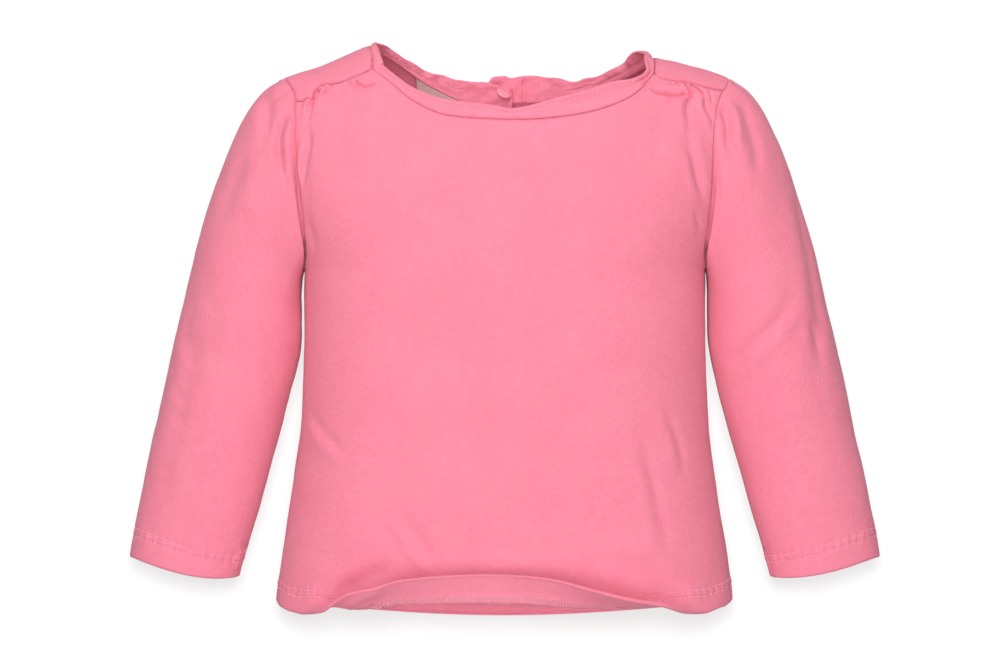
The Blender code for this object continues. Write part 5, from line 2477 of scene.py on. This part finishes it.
@dataclass
class Studio:
    """Camera, light, a pale floor and a pale wall close behind, in metres.

    Attributes:
        camera_place: Where the camera stands.
        lens: Its focal length, in millimetres.
        sensor: Its sensor's width, in millimetres.
        wall_y: The wall's y.
        floor_z: The floor's height.
        bend: Radius of the curve between them.
        reach: How far the floor and the wall reach to each side and to the front.
        top: The wall's top.
        glow: The share of the paper's light that comes through it.
        shine: The strength of that light.
        air: The strength of the light from all round.
    """

    camera_place: Point = (-0.0004, -2.0, -0.148)
    lens: float = 134.8
    sensor: float = 36.0
    wall_y: float = 0.070
    floor_z: float = -0.350
    bend: float = 0.004
    reach: float = 6.0
    top: float = 4.0
    glow: float = 0.67
    shine: float = 1.08
    air: float = 0.37

    def camera(self) -> None:
        """Sets the camera in front of the garment, level with its middle."""
        data = bpy.data.cameras.new("camera")
        data.lens = self.lens
        data.sensor_width = self.sensor
        data.clip_start, data.clip_end = 0.05, 50
        made = bpy.data.objects.new("camera", data)
        made.location = self.camera_place
        made.rotation_euler = (math.pi / 2, 0, 0)
        bpy.context.scene.collection.objects.link(made)
        bpy.context.scene.camera = made

    def paper(self) -> bpy.types.Material:
        """Pale matt paper, lit through from behind, that doesn't show from its other side.

        Returns:
            The material.
        """
        material, nodes, shader = new_material("pale_paper")
        place = nodes.add("ShaderNodeTexCoord").outputs["Object"]
        grain = nodes.add("ShaderNodeMapRange", {0: nodes.noise(place, 300.0), 3: 0.82, 4: 0.9})
        tint = nodes.add("ShaderNodeCombineColor", {k: grain.outputs[0] for k in range(3)})
        nodes.fill(shader, {"Base Color": tint.outputs[0], "Roughness": 1.0, "Specular IOR Level": 0.0})
        lit = nodes.add("ShaderNodeEmission", {"Strength": self.shine})
        sheet = nodes.add("ShaderNodeMixShader", {0: self.glow, 1: shader.outputs[0], 2: lit.outputs[0]})
        clear = nodes.add("ShaderNodeBsdfTransparent")
        behind = nodes.add("ShaderNodeNewGeometry").outputs["Backfacing"]
        mix = nodes.add("ShaderNodeMixShader", {0: behind, 1: sheet.outputs[0], 2: clear.outputs[0]})
        nodes.fill(material.node_tree.nodes["Material Output"], {"Surface": mix.outputs[0]})
        return material

    def sweep(self) -> bpy.types.Object:
        """Makes a floor that turns up into a wall in one curve.

        Returns:
            The object.
        """
        y, z = self.wall_y - self.bend, self.floor_z + self.bend
        turns = np.linspace(0, math.pi / 2, 7)
        profile = [(-self.reach, self.floor_z)]
        profile += [(y + self.bend * math.sin(t), z - self.bend * math.cos(t)) for t in turns]
        profile += [(self.wall_y, self.top)]
        points = np.array([[(x, y, z) for x in (-self.reach, self.reach)] for y, z in profile]) / MM
        k = np.arange(len(profile) - 1) * 2
        faces = np.stack([k, k + 1, k + 3, k + 2], axis=1)
        made = build_mesh("sweep", points.reshape(-1, 3), faces, self.paper())
        made.visible_diffuse = False
        made.visible_glossy = False
        made.visible_shadow = False
        return made

    def build(self) -> None:
        """Makes the studio."""
        self.camera()
        paper = self.sweep()
        for lamp in LAMPS:
            lamp.build(paper)
        world = bpy.data.worlds.new("studio")
        world.use_nodes = True
        background = world.node_tree.nodes["Background"]
        background.inputs["Color"].default_value = (1, 1, 1, 1)
        background.inputs["Strength"].default_value = self.air
        bpy.context.scene.world = world
        bpy.context.scene.view_settings.view_transform = "Standard"


# ---------------------------------------------------------------- all together


def snaps(band: Neckband, material: bpy.types.Material) -> None:
    """Makes the two caps, on the inside of the left end and the outside of the right one.

    Args:
        band: The neckband, laid out.
        material: The caps' material.
    """
    length = lengths_along(band.path)[-1]
    for node, place, level, out, tilt, slant in (
        ("snap_cap_inside", 4.8, 0.80, -1, 1.8, 0.85),
        ("snap_cap_outside", length - 4.6, 0.5, 1, 0.0, 0.0),
    ):
        k = int(round(place / length * (band.columns - 1)))
        middle = band.path[k] + band.rise[k] * band.height[k] * level
        facing = unit(band.out[k] * out + band.rise[k] * tilt + np.array([slant, 0, 0]))
        clear = 0.1 if out > 0 else band.cloth - 0.5
        piece = SnapCap(node).build(middle + band.out[k] * out * clear, facing, material)
        ride(piece, "snap", node)


def main() -> None:
    """Builds every piece in order."""
    logging.basicConfig(level=logging.INFO, format="%(name)s %(message)s")
    Studio().build()
    jersey, thread = JERSEY.build(), THREAD.build()
    ribbon, cap = RIBBON.build(), CAP.build()

    front, back = FrontPanel(), BackPanel()
    piece = ride(front.build(jersey), "jersey", "front_panel")
    piece = ride(back.build(jersey), "jersey", "back_panel")

    sleeves = (
        Sleeve(Side.LEFT, LEFT_SLEEVE_CREASES, lift=1.1, outward=1.35),
        Sleeve(Side.RIGHT, RIGHT_SLEEVE_CREASES, lift=1.75, outward=0.8),
    )
    for sleeve in sleeves:
        name = sleeve.side.name.lower()
        piece = ride(sleeve.build(jersey), "jersey", f"sleeve_{name}")

    band = Neckband()
    piece = ride(band.build(back, jersey), "jersey", "neckband")
    piece = ride(NeckLabel().build(ribbon), "label", "neck_label")
    snaps(band, cap)

    stitching = Stitching(thread)
    for panel, name in ((front, "front"), (back, "back")):
        for k, below in enumerate(panel.needles):
            stitching.row(f"{name}_hem_needle_{k + 1}", panel.line_at(below))
        points, normals = panel.line_at(panel.looper)
        line = points - normals * (panel.hem_cloth + 0.05), -normals
        stitching.row(f"{name}_hem_looper", line, stitching.looper)
    for sleeve in sleeves:
        name = sleeve.side.name.lower()
        for k, below in enumerate(sleeve.needles):
            stitching.row(f"{name}_cuff_needle_{k + 1}", sleeve.cuff_line(sleeve.cuff_depth - below))
    stitching.row("neckband_topstitch", band.line_at(0.27, 0.745, band.topstitch))
    fine = StitchRow(stitch=2.0, gap=0.6, radius=0.2, lift=0.1)
    stitching.row("neckband_left_stitch", band.line_at(0.03, 0.26, band.left_stitch, True), fine)
    stitching.row("neckband_right_stitch", band.line_at(0.77, 0.94, band.right_stitch, True), fine)


if __name__ == "__main__":
    main()
